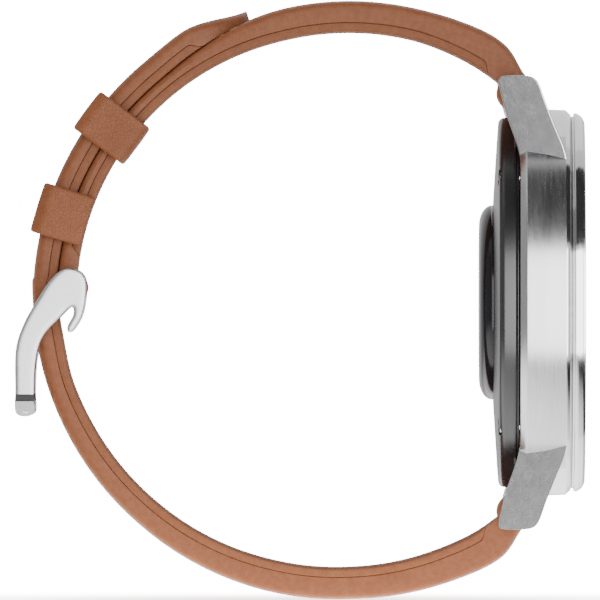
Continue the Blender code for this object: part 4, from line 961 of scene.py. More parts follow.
# %% [markdown]
# ## The case
# The body of the watch is turned from a bar of steel, then the four lugs are milled on. Its side
# is brushed, and its front chamfer is polished, so a thin bright line runs along that edge. The
# lugs lean in towards the wrist, drop below the case, and end in a rounded tip round the spring
# bar. The bores for the two pushers are cut through the ring, and those for the bars into the lugs.

# %% Case ring
CASE_RADIUS = 21.95 * MM
CASE_BORE = 18.9 * MM
CASE_BACK = 4.55 * MM
CASE_FRONT = 10.45 * MM
CASE_CROWNING = 0.08 * MM     # how far the side falls away towards its two edges
BACK_CHAMFER = 0.75 * MM
BACK_CHAMFER_IN = 0.4 * MM
FRONT_CHAMFER = 0.6 * MM
CASE_EDGE = 0.14 * MM         # how far each corner of the ring is eased
PUSHER_X = 7.2 * MM
PUSHER_ANGLES = {"crown": 30 * DEG, "button": -30 * DEG}
TUBE_RADIUS = 1.6 * MM
TUBE_PLAY = 0.03 * MM

waist = CASE_RADIUS - CASE_CROWNING
case_profile = [
    (CASE_BACK, CASE_BORE), (CASE_BACK, waist - BACK_CHAMFER_IN),
    (CASE_BACK + BACK_CHAMFER, waist), ((CASE_BACK + CASE_FRONT) / 2, CASE_RADIUS),
    (CASE_FRONT - FRONT_CHAMFER, waist), (CASE_FRONT, waist - FRONT_CHAMFER),
    (CASE_FRONT, CASE_BORE)]
case = turned("case_body", eased(case_profile, CASE_EDGE), "brushed_steel", "polished_steel",
              sides=256)


def out_along(angle):
    """Turns +X outwards along a pusher's axis."""
    return Matrix.Translation((PUSHER_X, 0, 0)) @ Matrix.Rotation(angle, 4, "X") \
        @ Matrix.Rotation(90 * DEG, 4, "Z")


for angle in PUSHER_ANGLES.values():
    bore = rod("bore", CASE_BORE - MM, CASE_RADIUS + MM, TUBE_RADIUS + TUBE_PLAY, sides=48)
    combined(case, moved(bore, out_along(angle)), "DIFFERENCE")
print("case ring:", len(case.data.polygons), "faces")

# %% Lugs
LUG_INNER = 11.2 * MM
LUG_OUTER = 14.8 * MM
LUG_DRAFT = 0.23              # how far the outer side leans in, for each unit towards the wrist
LUG_CORNER = 1.1 * MM         # rounding of the corners in the side view
LUG_EDGE = 0.42 * MM          # rounding of the long edges
BAR_HOLE_RADIUS = 0.62 * MM
BAR_HOLE_DEPTH = 1.4 * MM
POLISH_LEAN = 0.30            # faces that look to the dial by more than this are polished
BAR_X = 4.0 * MM
BAR_Z = 23.8 * MM
LUG_OUTLINE = ((5.1, 12.0), (4.4, 17.3), (3.65, 19.5), (2.85, 21.8), (2.05, 25.2), (2.35, 25.7),
               (5.8, 25.7), (6.7, 25.0), (7.5, 22.6), (8.6, 19.8), (9.6, 17.5), (10.15, 14.7),
               (10.35, 12.0))
lugs = []
for side in (1, -1):
    outline = eased([(x * MM, side * z * MM) for x, z in LUG_OUTLINE], LUG_CORNER, steps=5)
    for hand in (1, -1):
        lug = cut_out("lug", outline, hand * LUG_INNER, hand * LUG_OUTER,
                      "brushed_steel", "polished_steel", draft=hand * LUG_DRAFT)
        hole = rod("hole", LUG_INNER - MM, LUG_INNER + BAR_HOLE_DEPTH, BAR_HOLE_RADIUS, sides=24)
        moved(hole, across((BAR_X, 0, side * BAR_Z), hand))
        combined(lug, hole, "DIFFERENCE")
        lugs.append(bevelled(lug, LUG_EDGE, segments=4, angle=50.0))
joined(case, lugs)


def is_polished(face):
    """The chamfers towards the dial, and the inner sides of the lugs."""
    between_lugs = abs(face.center.y) < LUG_INNER + 0.1 * MM and abs(face.center.z) > 18 * MM
    return face.normal.x > POLISH_LEAN or between_lugs


polished_faces(case, is_polished)
placed(case, "case", "mid_case", slot="brushed_steel")

# %% [markdown]
# ## Bezel, ring and glass
# A polished steel ring is pressed over the glass and holds it down. Its wide chamfer is what
# flashes when the watch is tilted. Inside it lies a black ceramic ring with a fine minute scale,
# and then the slightly rounded edge of the glass. The scale is one small bar set sixty times
# round by `ring_of`, with a longer one at every fifth minute.

# %% Bezel
BEZEL_RADIUS = 21.5 * MM
BEZEL_BACK = 10.75 * MM
BEZEL_SEAT = CASE_FRONT + 0.03 * MM
FRONT = 12.0 * MM

bezel_profile = [
    (FRONT, 20.5 * MM), (FRONT - 0.28 * MM, 21.08 * MM), (FRONT - 0.875 * MM, BEZEL_RADIUS),
    (BEZEL_BACK, BEZEL_RADIUS), (BEZEL_BACK, 21.15 * MM), (BEZEL_SEAT, 21.15 * MM),
    (BEZEL_SEAT, 18.6 * MM), (9.7 * MM, 18.6 * MM), (9.7 * MM, 16.6 * MM), (10.1 * MM, 16.6 * MM),
    (10.1 * MM, 17.9 * MM), (11.0 * MM, 17.9 * MM), (11.0 * MM, 20.1 * MM), (FRONT, 20.1 * MM)]
bezel = turned("bezel", eased(bezel_profile, 0.12 * MM), "polished_steel", sides=256)
placed(bezel, "case", "bezel_ring", slot="polished_steel")

# %% Ceramic ring and glass
GLASS_RADIUS = 17.5 * MM
GLASS_BACK = 10.6 * MM

insert = turned("ceramic_ring", eased([
    (11.3 * MM, 17.7 * MM), (11.3 * MM, 19.9 * MM), (11.9 * MM, 19.9 * MM),
    (11.8 * MM, 17.7 * MM)], 0.1 * MM), "black_ceramic", sides=192)
placed(insert, "case", "bezel_insert", slot="black_ceramic")

glass_dome = turned("glass", eased([
    (GLASS_BACK, 0.0), (GLASS_BACK, GLASS_RADIUS), (FRONT - 0.2 * MM, GLASS_RADIUS),
    (FRONT, GLASS_RADIUS - 0.3 * MM), (FRONT, 0.0)], 0.12 * MM, closed=False), "front_glass",
    sides=192, closed=False)
placed(glass_dome, "case", "cover_glass", slot="front_glass")

# %% Minute scale
SCALE_X = 11.87 * MM
MINUTES = 60
HOURS = 12

minutes = ring_of("minute_scale", pebble(0.9 * MM, 0.16 * MM, 0.05 * MM, "etched_mark"),
                  MINUTES, 18.9 * MM, "etched_mark")
hours = ring_of("hour_scale", pebble(1.4 * MM, 0.34 * MM, 0.06 * MM, "etched_mark"),
                HOURS, 18.8 * MM, "etched_mark")
scale = moved(joined(minutes, [hours]), Matrix.Translation((SCALE_X, 0, 0)))
placed(scale, "case", slot="polished_steel")

# %% [markdown]
# ## The face on the display
# The picture on the display is a generic one: twelve bars, sixty dots and three plain hands at
# ten past ten. They are thin lit shapes laid on the panel, so they stay crisp at any zoom.

# %% Display bars and hands
FACE_X = 10.33 * MM
HAND_TAIL = 1.2 * MM          # how far a hand reaches past the centre
HANDS = ((-60.0, 8.2, 0.9), (60.0, 12.2, 0.65), (-150.0, 13.0, 0.22))    # turn, length, width

bars = ring_of("face_bars", pebble(2.4 * MM, 0.55 * MM, 0.04 * MM, "dial_ink"), HOURS,
               13.9 * MM, "dial_ink")
dots = ring_of("face_dots", pebble(0.45 * MM, 0.3 * MM, 0.04 * MM, "dial_ink"), MINUTES,
               15.6 * MM, "dial_ink")
hands = []
for turn, length, width in HANDS:
    hand = pebble(length * MM, width * MM, 0.05 * MM, "dial_ink", sides=12)
    moved(hand, Matrix.Rotation(turn * DEG, 4, "X") @ Matrix.Rotation(-90 * DEG, 4, "Y")
          @ Matrix.Translation((length / 2 * MM - HAND_TAIL, 0, 0)))
    hands.append(hand)
hub = rod("hub", -0.03 * MM, 0.05 * MM, 0.9 * MM, "dial_ink", sides=32, corner=0.03 * MM)
face_marks = moved(joined(bars, [dots, *hands, hub]), Matrix.Translation((FACE_X, 0, 0)))
face_marks.name = "face_marks"
placed(face_marks, "case", slot="front_glass")

# %% [markdown]
# ## The back
# The back cover is one gloss black moulding that slopes down to the sensor window, a low dome of
# dark glass that presses on the wrist. Four small screws with cross slots hold the cover.

# %% Back cover
COVER_RIM = 21.0 * MM
SINK_RADIUS = 0.95 * MM
SCREW_CIRCLE = 19.9 * MM
SCREW_PLACES = [Matrix.Translation((0, SCREW_CIRCLE * math.cos(angle * DEG),
                                    SCREW_CIRCLE * math.sin(angle * DEG)))
                for angle in (45, 135, 225, 315)]

cover_profile = [
    (4.5 * MM, 19.0 * MM), (4.5 * MM, 20.6 * MM), (4.2 * MM, 20.6 * MM),
    (4.2 * MM, COVER_RIM - 0.15 * MM), (4.0 * MM, COVER_RIM),
    (2.6 * MM, COVER_RIM), (2.2 * MM, COVER_RIM - 0.4 * MM), (2.05 * MM, 18.6 * MM),
    (1.6 * MM, 11.4 * MM), (2.8 * MM, 11.4 * MM), (3.2 * MM, 18.3 * MM)]
cover = turned("back_shell", eased(cover_profile, 0.3 * MM, steps=5), "black_gloss", sides=256)
for place in SCREW_PLACES:
    combined(cover, moved(rod("sink", 1.5 * MM, 2.98 * MM, SINK_RADIUS, sides=32), place),
             "DIFFERENCE")
placed(cover, "case", "back_cover", slot="black_gloss")

# %% Sensor window
WINDOW_RADIUS = 11.05 * MM
WINDOW_BACK = 3.55 * MM
DOME_HEIGHT = 1.5 * MM
DOME_IN = 2.35 * MM           # how far in the dome's shoulder runs from the rim
DOME_STEPS = 14

window_profile = [(WINDOW_BACK, 0.0), (WINDOW_BACK, WINDOW_RADIUS), (DOME_HEIGHT, WINDOW_RADIUS)]
for i in range(DOME_STEPS + 1):
    angle = i / DOME_STEPS * 90 * DEG
    window_profile.append((DOME_HEIGHT * (1 - math.sin(angle)),
                           WINDOW_RADIUS - DOME_IN * (1 - math.cos(angle))))
window_profile.append((0.0, 0.0))
window = turned("sensor_dome", window_profile, "window_glass", sides=192, closed=False)
placed(window, "case", "sensor_window", slot="window_glass")

# %% Screws
SCREW_RADIUS = 0.75 * MM
SCREW_FACE = 2.3 * MM
SLOT_SIZE = (0.5 * MM, 0.95 * MM, 0.17 * MM)
SLOT_TURNS = (20 * DEG, 110 * DEG)

for number, place in enumerate(SCREW_PLACES, 1):
    head = turned("screw_head_%d" % number, eased([
        (3.0 * MM, 0.0), (3.0 * MM, SCREW_RADIUS), (SCREW_FACE + 0.06 * MM, SCREW_RADIUS),
        (SCREW_FACE, 0.0)], 0.12 * MM, closed=False), "spring_steel", sides=40, closed=False)
    for turn in SLOT_TURNS:
        combined(head, block(SLOT_SIZE, Matrix.Translation((SCREW_FACE, 0, 0))
                             @ Matrix.Rotation(turn, 4, "X")), "DIFFERENCE")
    placed(moved(head, place), "case", slot="spring_steel")

# %% [markdown]
# ## The loop of the strap
# When a watch is buckled, its two strap halves lie on one loop, nearly round, so every place on
# the leather is given by an angle round the loop, a height above the wrist and a distance to the
# side. Angles run from the dial, over twelve o'clock, to the buckle and back under six o'clock.
# The leather is thick and padded beside the lugs and thin where the two halves overlap.

# %% Loop and thickness
LOOP_RADIUS = 30.2 * MM
LOOP_CENTRE = Vector((-15.549936, 0.0, 0.3)) * MM
DOME = 0.3 * MM               # the leather is this much higher in the middle than at its edges
LINING = 1.0 * MM
TAIL_GAP = 0.06 * MM
TAIL_TIP = 108.3
TIP_LENGTH = 13.0             # degrees over which the tip grows to its full size
TIP_THICKNESS = 1.0 * MM
TAIL_THICKNESS = 2.5 * MM
TIP_HALF = 2.5 * MM           # half the width at the very tip
TAIL_HALF = 9.85 * MM
TAIL_OVER = 176.0             # where the tail leaves the upper half
UPPER_STATIONS = ((51.5, 0.1, 2.5), (55.5, 0.2, 3.9), (60.0, 0.3, 4.15), (74.0, 0.4, 3.6),
                  (88.0, 0.2, 3.6), (103.0, 0.0, 3.55), (128.0, 0.0, 2.4), (177.5, 0.0, 2.4))
LOWER_STATIONS = ((176.0, 2.65, 2.5), (180.0, 2.4, 2.55), (190.0, 1.95, 2.85),
                  (205.0, 1.5, 3.05), (228.0, 0.95, 3.25), (255.0, 0.4, 3.6), (272.0, 0.2, 3.6),
                  (292.0, 0.2, 3.95), (300.0, 0.3, 4.1), (304.0, 0.2, 3.9), (308.0, 0.1, 2.6))


def on_loop(degrees, radius, y=0.0):
    """A place at an angle round the loop, a radius from its centre, and a distance to the side."""
    return LOOP_CENTRE + Vector((
        radius * math.cos(degrees * DEG), y, radius * math.sin(degrees * DEG)))


def loop_angle(x, z):
    """The angle round the loop of a place in the side view."""
    return (math.atan2(z - LOOP_CENTRE.z, x - LOOP_CENTRE.x) / DEG) % 360.0


print("loop radius, mm:", round(LOOP_RADIUS / MM, 1))


# %% Height, thickness and width
LUG_HALF = 11.0 * MM          # half the gap between the lugs
SIDE_PLAY = 0.15 * MM
TAPER_FROM = 50.2             # from here the strap narrows by a millimetre on each side
TAPER_TO = 118.0


def between(stations, degrees):
    """Height and thickness at an angle, on straight lines between stations."""
    if degrees <= stations[0][0]:
        return stations[0][1:]
    for (a, *first), (b, *second) in zip(stations, stations[1:]):
        if degrees <= b:
            t = (degrees - a) / (b - a)
            return [p + (q - p) * t for p, q in zip(first, second)]
    return stations[-1][1:]


def softened(stations, degrees, spread=2.4):
    """The same, with its corners averaged away."""
    samples = [between(stations, degrees + spread * k / 3) for k in range(-3, 4)]
    return [sum(s[i] for s in samples) / len(samples) * MM for i in (0, 1)]


def upper_faces(degrees):
    """Wrist side and outer side of the buckle half."""
    height, thickness = softened(UPPER_STATIONS, degrees)
    return LOOP_RADIUS + height, LOOP_RADIUS + height + thickness


def step_up(value):
    """0 below 0, 1 above 1, smooth between."""
    t = min(1.0, max(0.0, value))
    return t * t * (3 - 2 * t)


def tip_share(degrees):
    """0 at the tip of the tail and 1 where the tail is full."""
    return min(1.0, max(0.0, (degrees - TAIL_TIP) / TIP_LENGTH))


def lower_faces(degrees):
    """Wrist side and outer side of the tail half, which lies on the buckle half."""
    if degrees > TAIL_OVER:
        height, thickness = softened(LOWER_STATIONS, degrees)
        return LOOP_RADIUS + height, LOOP_RADIUS + height + thickness
    inner = upper_faces(degrees)[1] + TAIL_GAP
    return inner, inner + TIP_THICKNESS + (TAIL_THICKNESS - TIP_THICKNESS) * step_up(
        tip_share(degrees))


def half_width(degrees, tail):
    """Half the width of the leather: 22 mm at the lugs, 20 mm at the buckle, round at the tip."""
    from_dial = min(degrees, 360.0 - degrees)
    narrowed = min(1.0, max(0.0, (from_dial - TAPER_FROM) / (TAPER_TO - TAPER_FROM)))
    half = LUG_HALF - narrowed * MM - SIDE_PLAY
    if not tail or degrees > TAIL_OVER:
        return half
    return TIP_HALF + (TAIL_HALF - TIP_HALF) * math.sqrt(1.0 - (1.0 - tip_share(degrees)) ** 2)


print("upper half at 90 degrees, mm:", [round(r / MM, 2) for r in upper_faces(90.0)])
print("half its width there, mm:", round(half_width(90.0, False) / MM, 2))

# %% [markdown]
# ## Skinning the leather
# Each half is two layers: the tan calf outside, and a thinner lining on the wrist side. Both are
# lofted from closed rings across the strap. The outer layer has rounded, painted edges, a pressed
# crease beside each edge, and a gentle dome, because it is stretched over a filler. The number
# `edge` is written on the vertices while the ring is made.

# %% Cross-section of a layer
CREASE_IN = 1.25 * MM         # from the edge of the leather to the pressed crease
CREASE_DEPTH = 0.16 * MM
CREASE_HALF = 0.2 * MM
SHARP = 0.10 * MM             # rounding of an edge that lies against the other layer
OUTER_ROUND = 0.62 * MM
LINING_ROUND = 0.30 * MM
PARED = 2.4                   # degrees over which the lining's ends are pared thin
LAYER_GAP = 0.03 * MM
RING_STEP = 0.75              # degrees from one cross-section to the next


def layer_ring(degrees, low, high, half, low_dome, high_dome, outside):
    """Places and edge numbers round one cross-section, from the middle of the outer side."""
    most = 0.4 * (high - low)
    round_out = min(OUTER_ROUND if outside else SHARP, most)
    round_in = min(SHARP if outside else LINING_ROUND, most)
    dip = CREASE_DEPTH if outside else 0.0
    dip *= min(1.0, max(0.0, half / (4 * MM) - 1.0))      # no crease on the narrow tip

    def top(y):
        return high - high_dome * (y / half) ** 2

    def bottom(y):
        return low - low_dome * (y / half) ** 2

    crease = half - CREASE_IN
    points = [(share * (crease - 0.5 * MM), top(share * (crease - 0.5 * MM)), 0.0)
              for share in (0.0, 0.3, 0.6, 0.85, 1.0)]
    points += [(crease - CREASE_HALF, top(crease) - 0.4 * dip, 0.0),
               (crease, top(crease) - dip, 0.1),
               (crease + CREASE_HALF, top(crease) - 0.4 * dip, 0.0)]
    for i in range(5):
        angle = i / 4 * 90 * DEG
        points.append((half - round_out + round_out * math.sin(angle),
                       top(half) - round_out + round_out * math.cos(angle), min(1.0, i / 2)))
    points.append((half + 0.02 * MM, (top(half) + bottom(half)) / 2, 1.0))
    for i in range(4):
        angle = i / 3 * 90 * DEG
        points.append((half - round_in + round_in * math.cos(angle),
                       bottom(half) + round_in - round_in * math.sin(angle), 1.0 - i / 3))
    points += [(share * half, bottom(share * half), 0.0) for share in (0.8, 0.5, 0.25)]
    points.append((0.0, bottom(0.0), 0.0))
    whole = points + [(-y, r, edge) for y, r, edge in reversed(points[1:-1])]
    return [(on_loop(degrees, r, y), edge) for y, r, edge in whole]


print("places round one cross-section:", len(layer_ring(90, 0.0, 2 * MM, 10 * MM, 0, DOME, True)))

# %% Layers and their pared ends
def layer(name, start, end, low, high, tail, finish_name, low_dome, high_dome, outside):
    """A lofted layer of leather between two angles."""
    count = max(2, round((end - start) / RING_STEP))
    bm = bmesh.new()
    edge_layer = bm.verts.layers.float.new("edge")
    rings = []
    for i in range(count + 1):
        degrees = start + (end - start) * i / count
        ring = []
        for place, edge in layer_ring(degrees, low(degrees), high(degrees),
                                      half_width(degrees, tail), low_dome(degrees),
                                      high_dome(degrees), outside):
            vert = bm.verts.new(place)
            vert[edge_layer] = 1.0 if i in (0, count) else edge
            ring.append(vert)
        rings.append(ring)
    skin(bm, rings)
    return new_piece(name, bm, finish_name)


def pared(faces, start, end, thickness):
    """A height above the wrist side that is full between two angles and is pared away to nothing
    just beyond them. The lining ends so, and the outer layer follows it."""
    def height(degrees):
        full = step_up(1.0 + (degrees - start) / PARED) * step_up(1.0 + (end - degrees) / PARED)
        return faces(degrees)[0] + thickness * full
    return height


print("crease beside the edge, mm:", CREASE_IN / MM)


# %% Domes, folds and openings
def flat(degrees):
    """No dome."""
    return 0.0


def domed(degrees):
    """The dome of the outer side."""
    return DOME


def round_eye(x, z, half, radius):
    """The round fold of leather about a bar. It is a hair narrower than the strap and turned a
    little, so that no two faces of the union lie in one plane."""
    half -= 0.07 * MM
    eye = rod("eye", -half, half, radius, "tan_leather", sides=64, corner=0.45 * MM)
    marks = eye.data.attributes.new("edge", "FLOAT", "POINT")
    marks.data.foreach_set("value", [step_up((abs(v.co.x) - half + 0.5 * MM) / (0.3 * MM))
                                     for v in eye.data.vertices])
    return moved(eye, across((x, 0, z)) @ Matrix.Rotation(1.3 * DEG, 4, "X"))


def fold(strap, x, z, half, eye_radius, bore_radius):
    """Folds the end of a strap round a bar: an eye is added, and the bar's hole cut through."""
    combined(strap, round_eye(x, z, half, eye_radius), "UNION")
    hole = rod("cross_hole", -20 * MM, 20 * MM, bore_radius, sides=40)
    return combined(strap, moved(hole, across((x, 0, z))), "DIFFERENCE")


def lever_notch(side):
    """The opening on the wrist side through which a fingernail reaches the lever of the bar."""
    bar = Vector((BAR_X, 0, side * BAR_Z))
    inward = (LOOP_CENTRE - bar).normalized()
    turn = math.atan2(inward.x, inward.z)
    centre = bar + inward * 1.95 * MM + Vector((0, 7.0 * MM, 0))
    return block((2.0 * MM, 3.5 * MM, 3.9 * MM),
                 Matrix.Translation(centre) @ Matrix.Rotation(turn, 4, "Y"))


print("dome of the leather, mm:", DOME / MM)

# %% [markdown]
# ## The buckle half
# This half runs from the twelve o'clock lugs to the bar of the buckle, and is folded round both.
# A slot in the far fold lets the tang through. The fixed keeper is sewn to this half.

# %% Buckle half
UPPER_START = loop_angle(BAR_X, BAR_Z)
UPPER_END = 177.4
LINING_START = 9.0            # degrees from a bar to the end of the lining
PARED_TO = 0.9 * PARED        # the lining stops just short of a knife edge
BUCKLE_BAR = on_loop(UPPER_END, LOOP_RADIUS + 0.25 * MM)
LUG_EYE = (10.85 * MM, 1.95 * MM, 1.0 * MM)         # half width, radius and bore of the fold
BUCKLE_EYE = (9.85 * MM, 1.55 * MM, 0.9 * MM)
TANG_SLOT = (6.2 * MM, 2.8 * MM, 4.2 * MM)

lining_12 = (UPPER_START + LINING_START, UPPER_END - LINING_START)
upper = layer("strap_12", UPPER_START, UPPER_END,
              pared(upper_faces, *lining_12, LINING + LAYER_GAP), lambda a: upper_faces(a)[1],
              False, "tan_leather", flat, domed, True)
fold(upper, BAR_X, BAR_Z, *LUG_EYE)
fold(upper, BUCKLE_BAR.x, BUCKLE_BAR.z, *BUCKLE_EYE)
combined(upper, block(TANG_SLOT, Matrix.Translation(BUCKLE_BAR)), "DIFFERENCE")
combined(upper, lever_notch(1), "DIFFERENCE")
placed(upper, "strap_12", "strap_12_top", slot="tan_leather")

upper_lining = layer("strap_12_inside", lining_12[0] - PARED_TO, lining_12[1] + PARED_TO,
                     lambda a: upper_faces(a)[0], pared(upper_faces, *lining_12, LINING),
                     False, "tan_lining", flat, flat, False)
placed(upper_lining, "strap_12", "strap_12_lining", slot="tan_lining")

# %% [markdown]
# ## The tail half
# This half runs from the six o'clock lugs, over the buckle and through the keepers to its rounded
# tip. Seven oval holes are punched along its middle. They are cut from the mesh, so that the tang
# really passes through one of them.

# %% Tail half
LOWER_END = loop_angle(BAR_X, -BAR_Z)
HOLE_PITCH = 10.5             # degrees
HOLE_RADIUS = 1.1 * MM
HOLE_REACH = 4 * MM
HOLE_STRETCH = 4.6 / 2.2      # length of a hole over its width
TANG_HOLE = loop_angle(BUCKLE_BAR.x - 3.3 * MM, BUCKLE_BAR.z - 3.0 * MM)
hole_angles = [TANG_HOLE + HOLE_PITCH * i for i in range(-3, 4)]


def tail_dome(degrees):
    """The tail's wrist side follows the dome it lies on, and is flat beyond the buckle."""
    return DOME * (1.0 - step_up((degrees - 186.0) / 12.0))


def punched(obj):
    """Cuts the row of oval holes through a layer of the tail."""
    for angle in hole_angles:
        inner, outer = lower_faces(angle)
        hole = rod("punch", -HOLE_REACH, HOLE_REACH, HOLE_RADIUS, sides=40)
        moved(hole, Matrix.Translation(on_loop(angle, (inner + outer) / 2))
              @ Matrix.Rotation(-angle * DEG, 4, "Y") @ Matrix.Diagonal((1, 1, HOLE_STRETCH, 1)))
        combined(obj, hole, "DIFFERENCE")
    return obj


lining_6 = (TAIL_TIP + TIP_LENGTH, LOWER_END - LINING_START)
lower = layer("strap_6", TAIL_TIP, LOWER_END, pared(lower_faces, *lining_6, LINING + LAYER_GAP),
              lambda a: lower_faces(a)[1], True, "tan_leather", tail_dome, domed, True)
fold(lower, BAR_X, -BAR_Z, *LUG_EYE)
combined(lower, lever_notch(-1), "DIFFERENCE")
placed(punched(lower), "strap_6", "strap_6_top", slot="tan_leather")

lower_lining = layer("strap_6_inside", lining_6[0] - PARED_TO, lining_6[1] + PARED_TO,
                     lambda a: lower_faces(a)[0], pared(lower_faces, *lining_6, LINING),
                     True, "tan_lining", tail_dome, tail_dome, False)
placed(punched(lower_lining), "strap_6", "strap_6_lining", slot="tan_lining")

# %% [markdown]
# ## Stitches
# The layers are sewn along both edges with waxed thread, about three stitches to five
# millimetres, each lying in the pressed crease. A line is laid along the crease and `run_of` sets
# one small rounded stitch at every pitch, turned to follow the loop.

# %% Stitch lines
STITCH_PITCH = 1.75 * MM
STITCH_SIZE = (1.15 * MM, 0.42 * MM, 0.30 * MM)
LINE_STEPS = 160


def stitch_path(faces, start, end, hand, tail):
    """A line along the crease of a half, just above the leather."""
    path = []
    for i in range(LINE_STEPS + 1):
        degrees = start + (end - start) * i / LINE_STEPS
        half = half_width(degrees, tail)
        y = half - CREASE_IN
        height = faces(degrees)[1] - DOME * (y / half) ** 2 - 0.6 * CREASE_DEPTH
        path.append(on_loop(degrees, height, hand * y))
    return path


for name, faces, start, end, tail, body in (
        ("stitches_12", upper_faces, UPPER_START + 5.0, 121.0, False, "strap_12"),
        ("stitches_6", lower_faces, 185.0, LOWER_END - 5.0, True, "strap_6")):
    stitches = run_of(name, pebble(*STITCH_SIZE, "thread"),
                      [stitch_path(faces, start, end, hand, tail) for hand in (-1, 1)],
                      STITCH_PITCH, LOOP_CENTRE, "thread")
    placed(stitches, body, slot="tan_leather")

# %% [markdown]
# ## The keepers
# Two bands of the same leather hold the tail down. Each is a strip wrapped round both halves, so
# it is lofted along a rounded rectangle, with a strip's section at every place. One slides along
# the strap. The other is open on the wrist side, where its two ends are glued to the buckle half.

# %% A strip wrapped round the strap
KEEPER_WALL = 0.75 * MM
KEEPER_PLAY = 0.2 * MM
KEEPER_CORNER = 0.95 * MM     # where the strip turns round the edge of the strap
KEEPER_EDGE = 0.34 * MM
KEEPER_FULLNESS = 0.06 * MM
KEEPER_STEP = 0.8 * MM


def corners_of(half_wide, low, high, corner, steps):
    """A rounded rectangle as places and outward directions, from its upper right corner."""
    for u, v, first in ((1, 1, 0), (-1, 1, 90), (-1, -1, 180), (1, -1, 270)):
        centre = (u * (half_wide - corner), (high if v > 0 else low) - v * corner)
        for i in range(steps + 1):
            angle = (first + 90 / steps * i) * DEG
            out = (math.cos(angle), math.sin(angle))
            yield (centre[0] + corner * out[0], centre[1] + corner * out[1], *out)


def strip_section(length):
    """Section of a strip of leather: rounded edges, and a little fuller along its middle."""
    half = KEEPER_WALL / 2
    section = [place[:2] for place in corners_of(length / 2, -half, half, KEEPER_EDGE, 4)]
    for place, side in ((15, -1), (5, 1)):
        section[place:place] = [
            (side * share * length / 2,
             side * (half + KEEPER_FULLNESS * math.cos(math.pi * share / 2)))
            for share in (0.72, 0.36, 0.0, -0.36, -0.72)]
    return section


def keeper_path(degrees, length, is_open):
    """The way round both halves: places across the strap and from the loop's centre, each with
    its outward direction."""
    inner = upper_faces(degrees)[0]
    low = inner - inner * (1.0 - math.cos(length / 2 / inner)) - KEEPER_PLAY - KEEPER_WALL / 2
    high = lower_faces(degrees)[1] + KEEPER_PLAY + KEEPER_WALL / 2
    wide = 10.0 * MM + KEEPER_PLAY + KEEPER_WALL / 2
    path = list(corners_of(wide, low, high, KEEPER_CORNER, 8))
    if is_open:
        turns = [place for place in path if place[1] > low + 1.3 * MM]
        glued = inner + 0.1 * MM
        path = [(wide, glued, 1.0, 0.0), *turns, (-wide, glued, -1.0, 0.0)]
    full = []
    for first, second in zip(path, path[1:] + ([] if is_open else path[:1])):
        steps = max(1, round(math.dist(first[:2], second[:2]) / KEEPER_STEP))
        for i in range(steps):
            full.append([p + (q - p) * i / steps for p, q in zip(first, second)])
    return full + path[-1:] if is_open else full


def keeper(name, degrees, length, is_open):
    """A strip of leather round both halves at an angle round the loop."""
    onward = Vector((-math.sin(degrees * DEG), 0, math.cos(degrees * DEG)))
    bm = bmesh.new()
    marks = bm.verts.layers.float.new("edge")
    rings = []
    for y, radius, out_y, out_r in keeper_path(degrees, length, is_open):
        ring = []
        for along, out in strip_section(length):
            vert = bm.verts.new(on_loop(degrees, radius + out_r * out, y + out_y * out)
                                + onward * along)
            vert[marks] = step_up((abs(along) - length / 2 + 0.5 * MM) / (0.35 * MM))
            ring.append(vert)
        rings.append(ring)
    skin(bm, rings, closed_row=not is_open)
    return new_piece(name, bm, "tan_leather")


print("wall of a keeper, mm:", round(KEEPER_WALL / MM, 2))

# %% The two keepers
placed(keeper("sliding_keeper", 143.3, 5.2 * MM, False), "free_keeper", "free_keeper",
       slot="tan_leather")
placed(keeper("sewn_keeper", 163.0, 5.8 * MM, True), "strap_12", "fixed_keeper",
       slot="tan_leather")

# %% [markdown]
# ## The buckle
# The buckle is cast steel, tumbled until every edge is soft: two curved side arms that hook round
# the bar, joined by a crossbar that the tang rests on. The arms are cut from one smooth outline,
# then remeshed and relaxed, which rounds them as tumbling does. A groove near the end of each arm
# marks the joint of the crossbar. Its faces get the black rubber finish, as painted shade for the
# shadow in that gap. The tang is a bent oval bar with an eye round the buckle's bar.

# %% Arms of the buckle
ARM_INNER = 10.3 * MM
ARM_OUTER = 11.9 * MM
SOCKET_RADIUS = 0.8 * MM
CROSSBAR_RADIUS = 1.05 * MM
CROSSBAR_HALF = ARM_OUTER - 0.6 * MM
CROSSBAR = BUCKLE_BAR + Vector((-5.5, 0.0, -13.3)) * MM
GROOVE_Z = CROSSBAR.z + 0.82 * MM
GROOVE_SIZE = (3.0 * MM, 0.9 * MM, 0.8 * MM)
GROOVE_FLOOR = ARM_OUTER - 0.4 * MM
END_SLOPE = 22 * DEG          # the end of each arm leans in below the groove
ARM_OUTLINE = ((-1.1, 2.15), (0.5, 2.0), (1.35, 0.9), (1.35, -1.2), (0.85, -3.4), (-0.35, -5.15),
               (-0.75, -4.5), (0.0, -3.0), (-0.2, -2.1), (-1.6, -3.4), (-3.5, -5.6), (-4.25, -8.2),
               (-4.45, -12.0), (-4.5, -14.3), (-6.5, -14.3), (-6.6, -11.5), (-6.55, -7.0),
               (-5.6, -4.0), (-4.0, -1.2), (-2.6, 0.9))


def curve_places(a, b, c, d, steps):
    """Places on the smooth curve through four others, from the second to before the third."""
    for step in range(steps):
        t = step / steps
        yield (2 * b + (c - a) * t + (2 * a - 5 * b + 4 * c - d) * t * t
               + (3 * b - a - 3 * c + d) * t ** 3) / 2


def smooth_loop(points, steps):
    """A closed curve through the points."""
    count = len(points)
    result = []
    for i in range(count):
        four = (Vector(points[(i + k) % count]) for k in (-1, 0, 1, 2))
        result += [tuple(place) for place in curve_places(*four, steps)]
    return result


def tumbled_smooth(obj):
    """Rounds a whole piece as tumbling does: it is remeshed finely, then relaxed."""
    add_modifier(obj, "REMESH", mode="VOXEL", voxel_size=0.13 * MM)
    add_modifier(obj, "SMOOTH", factor=0.5, iterations=34)
    return settle(obj)
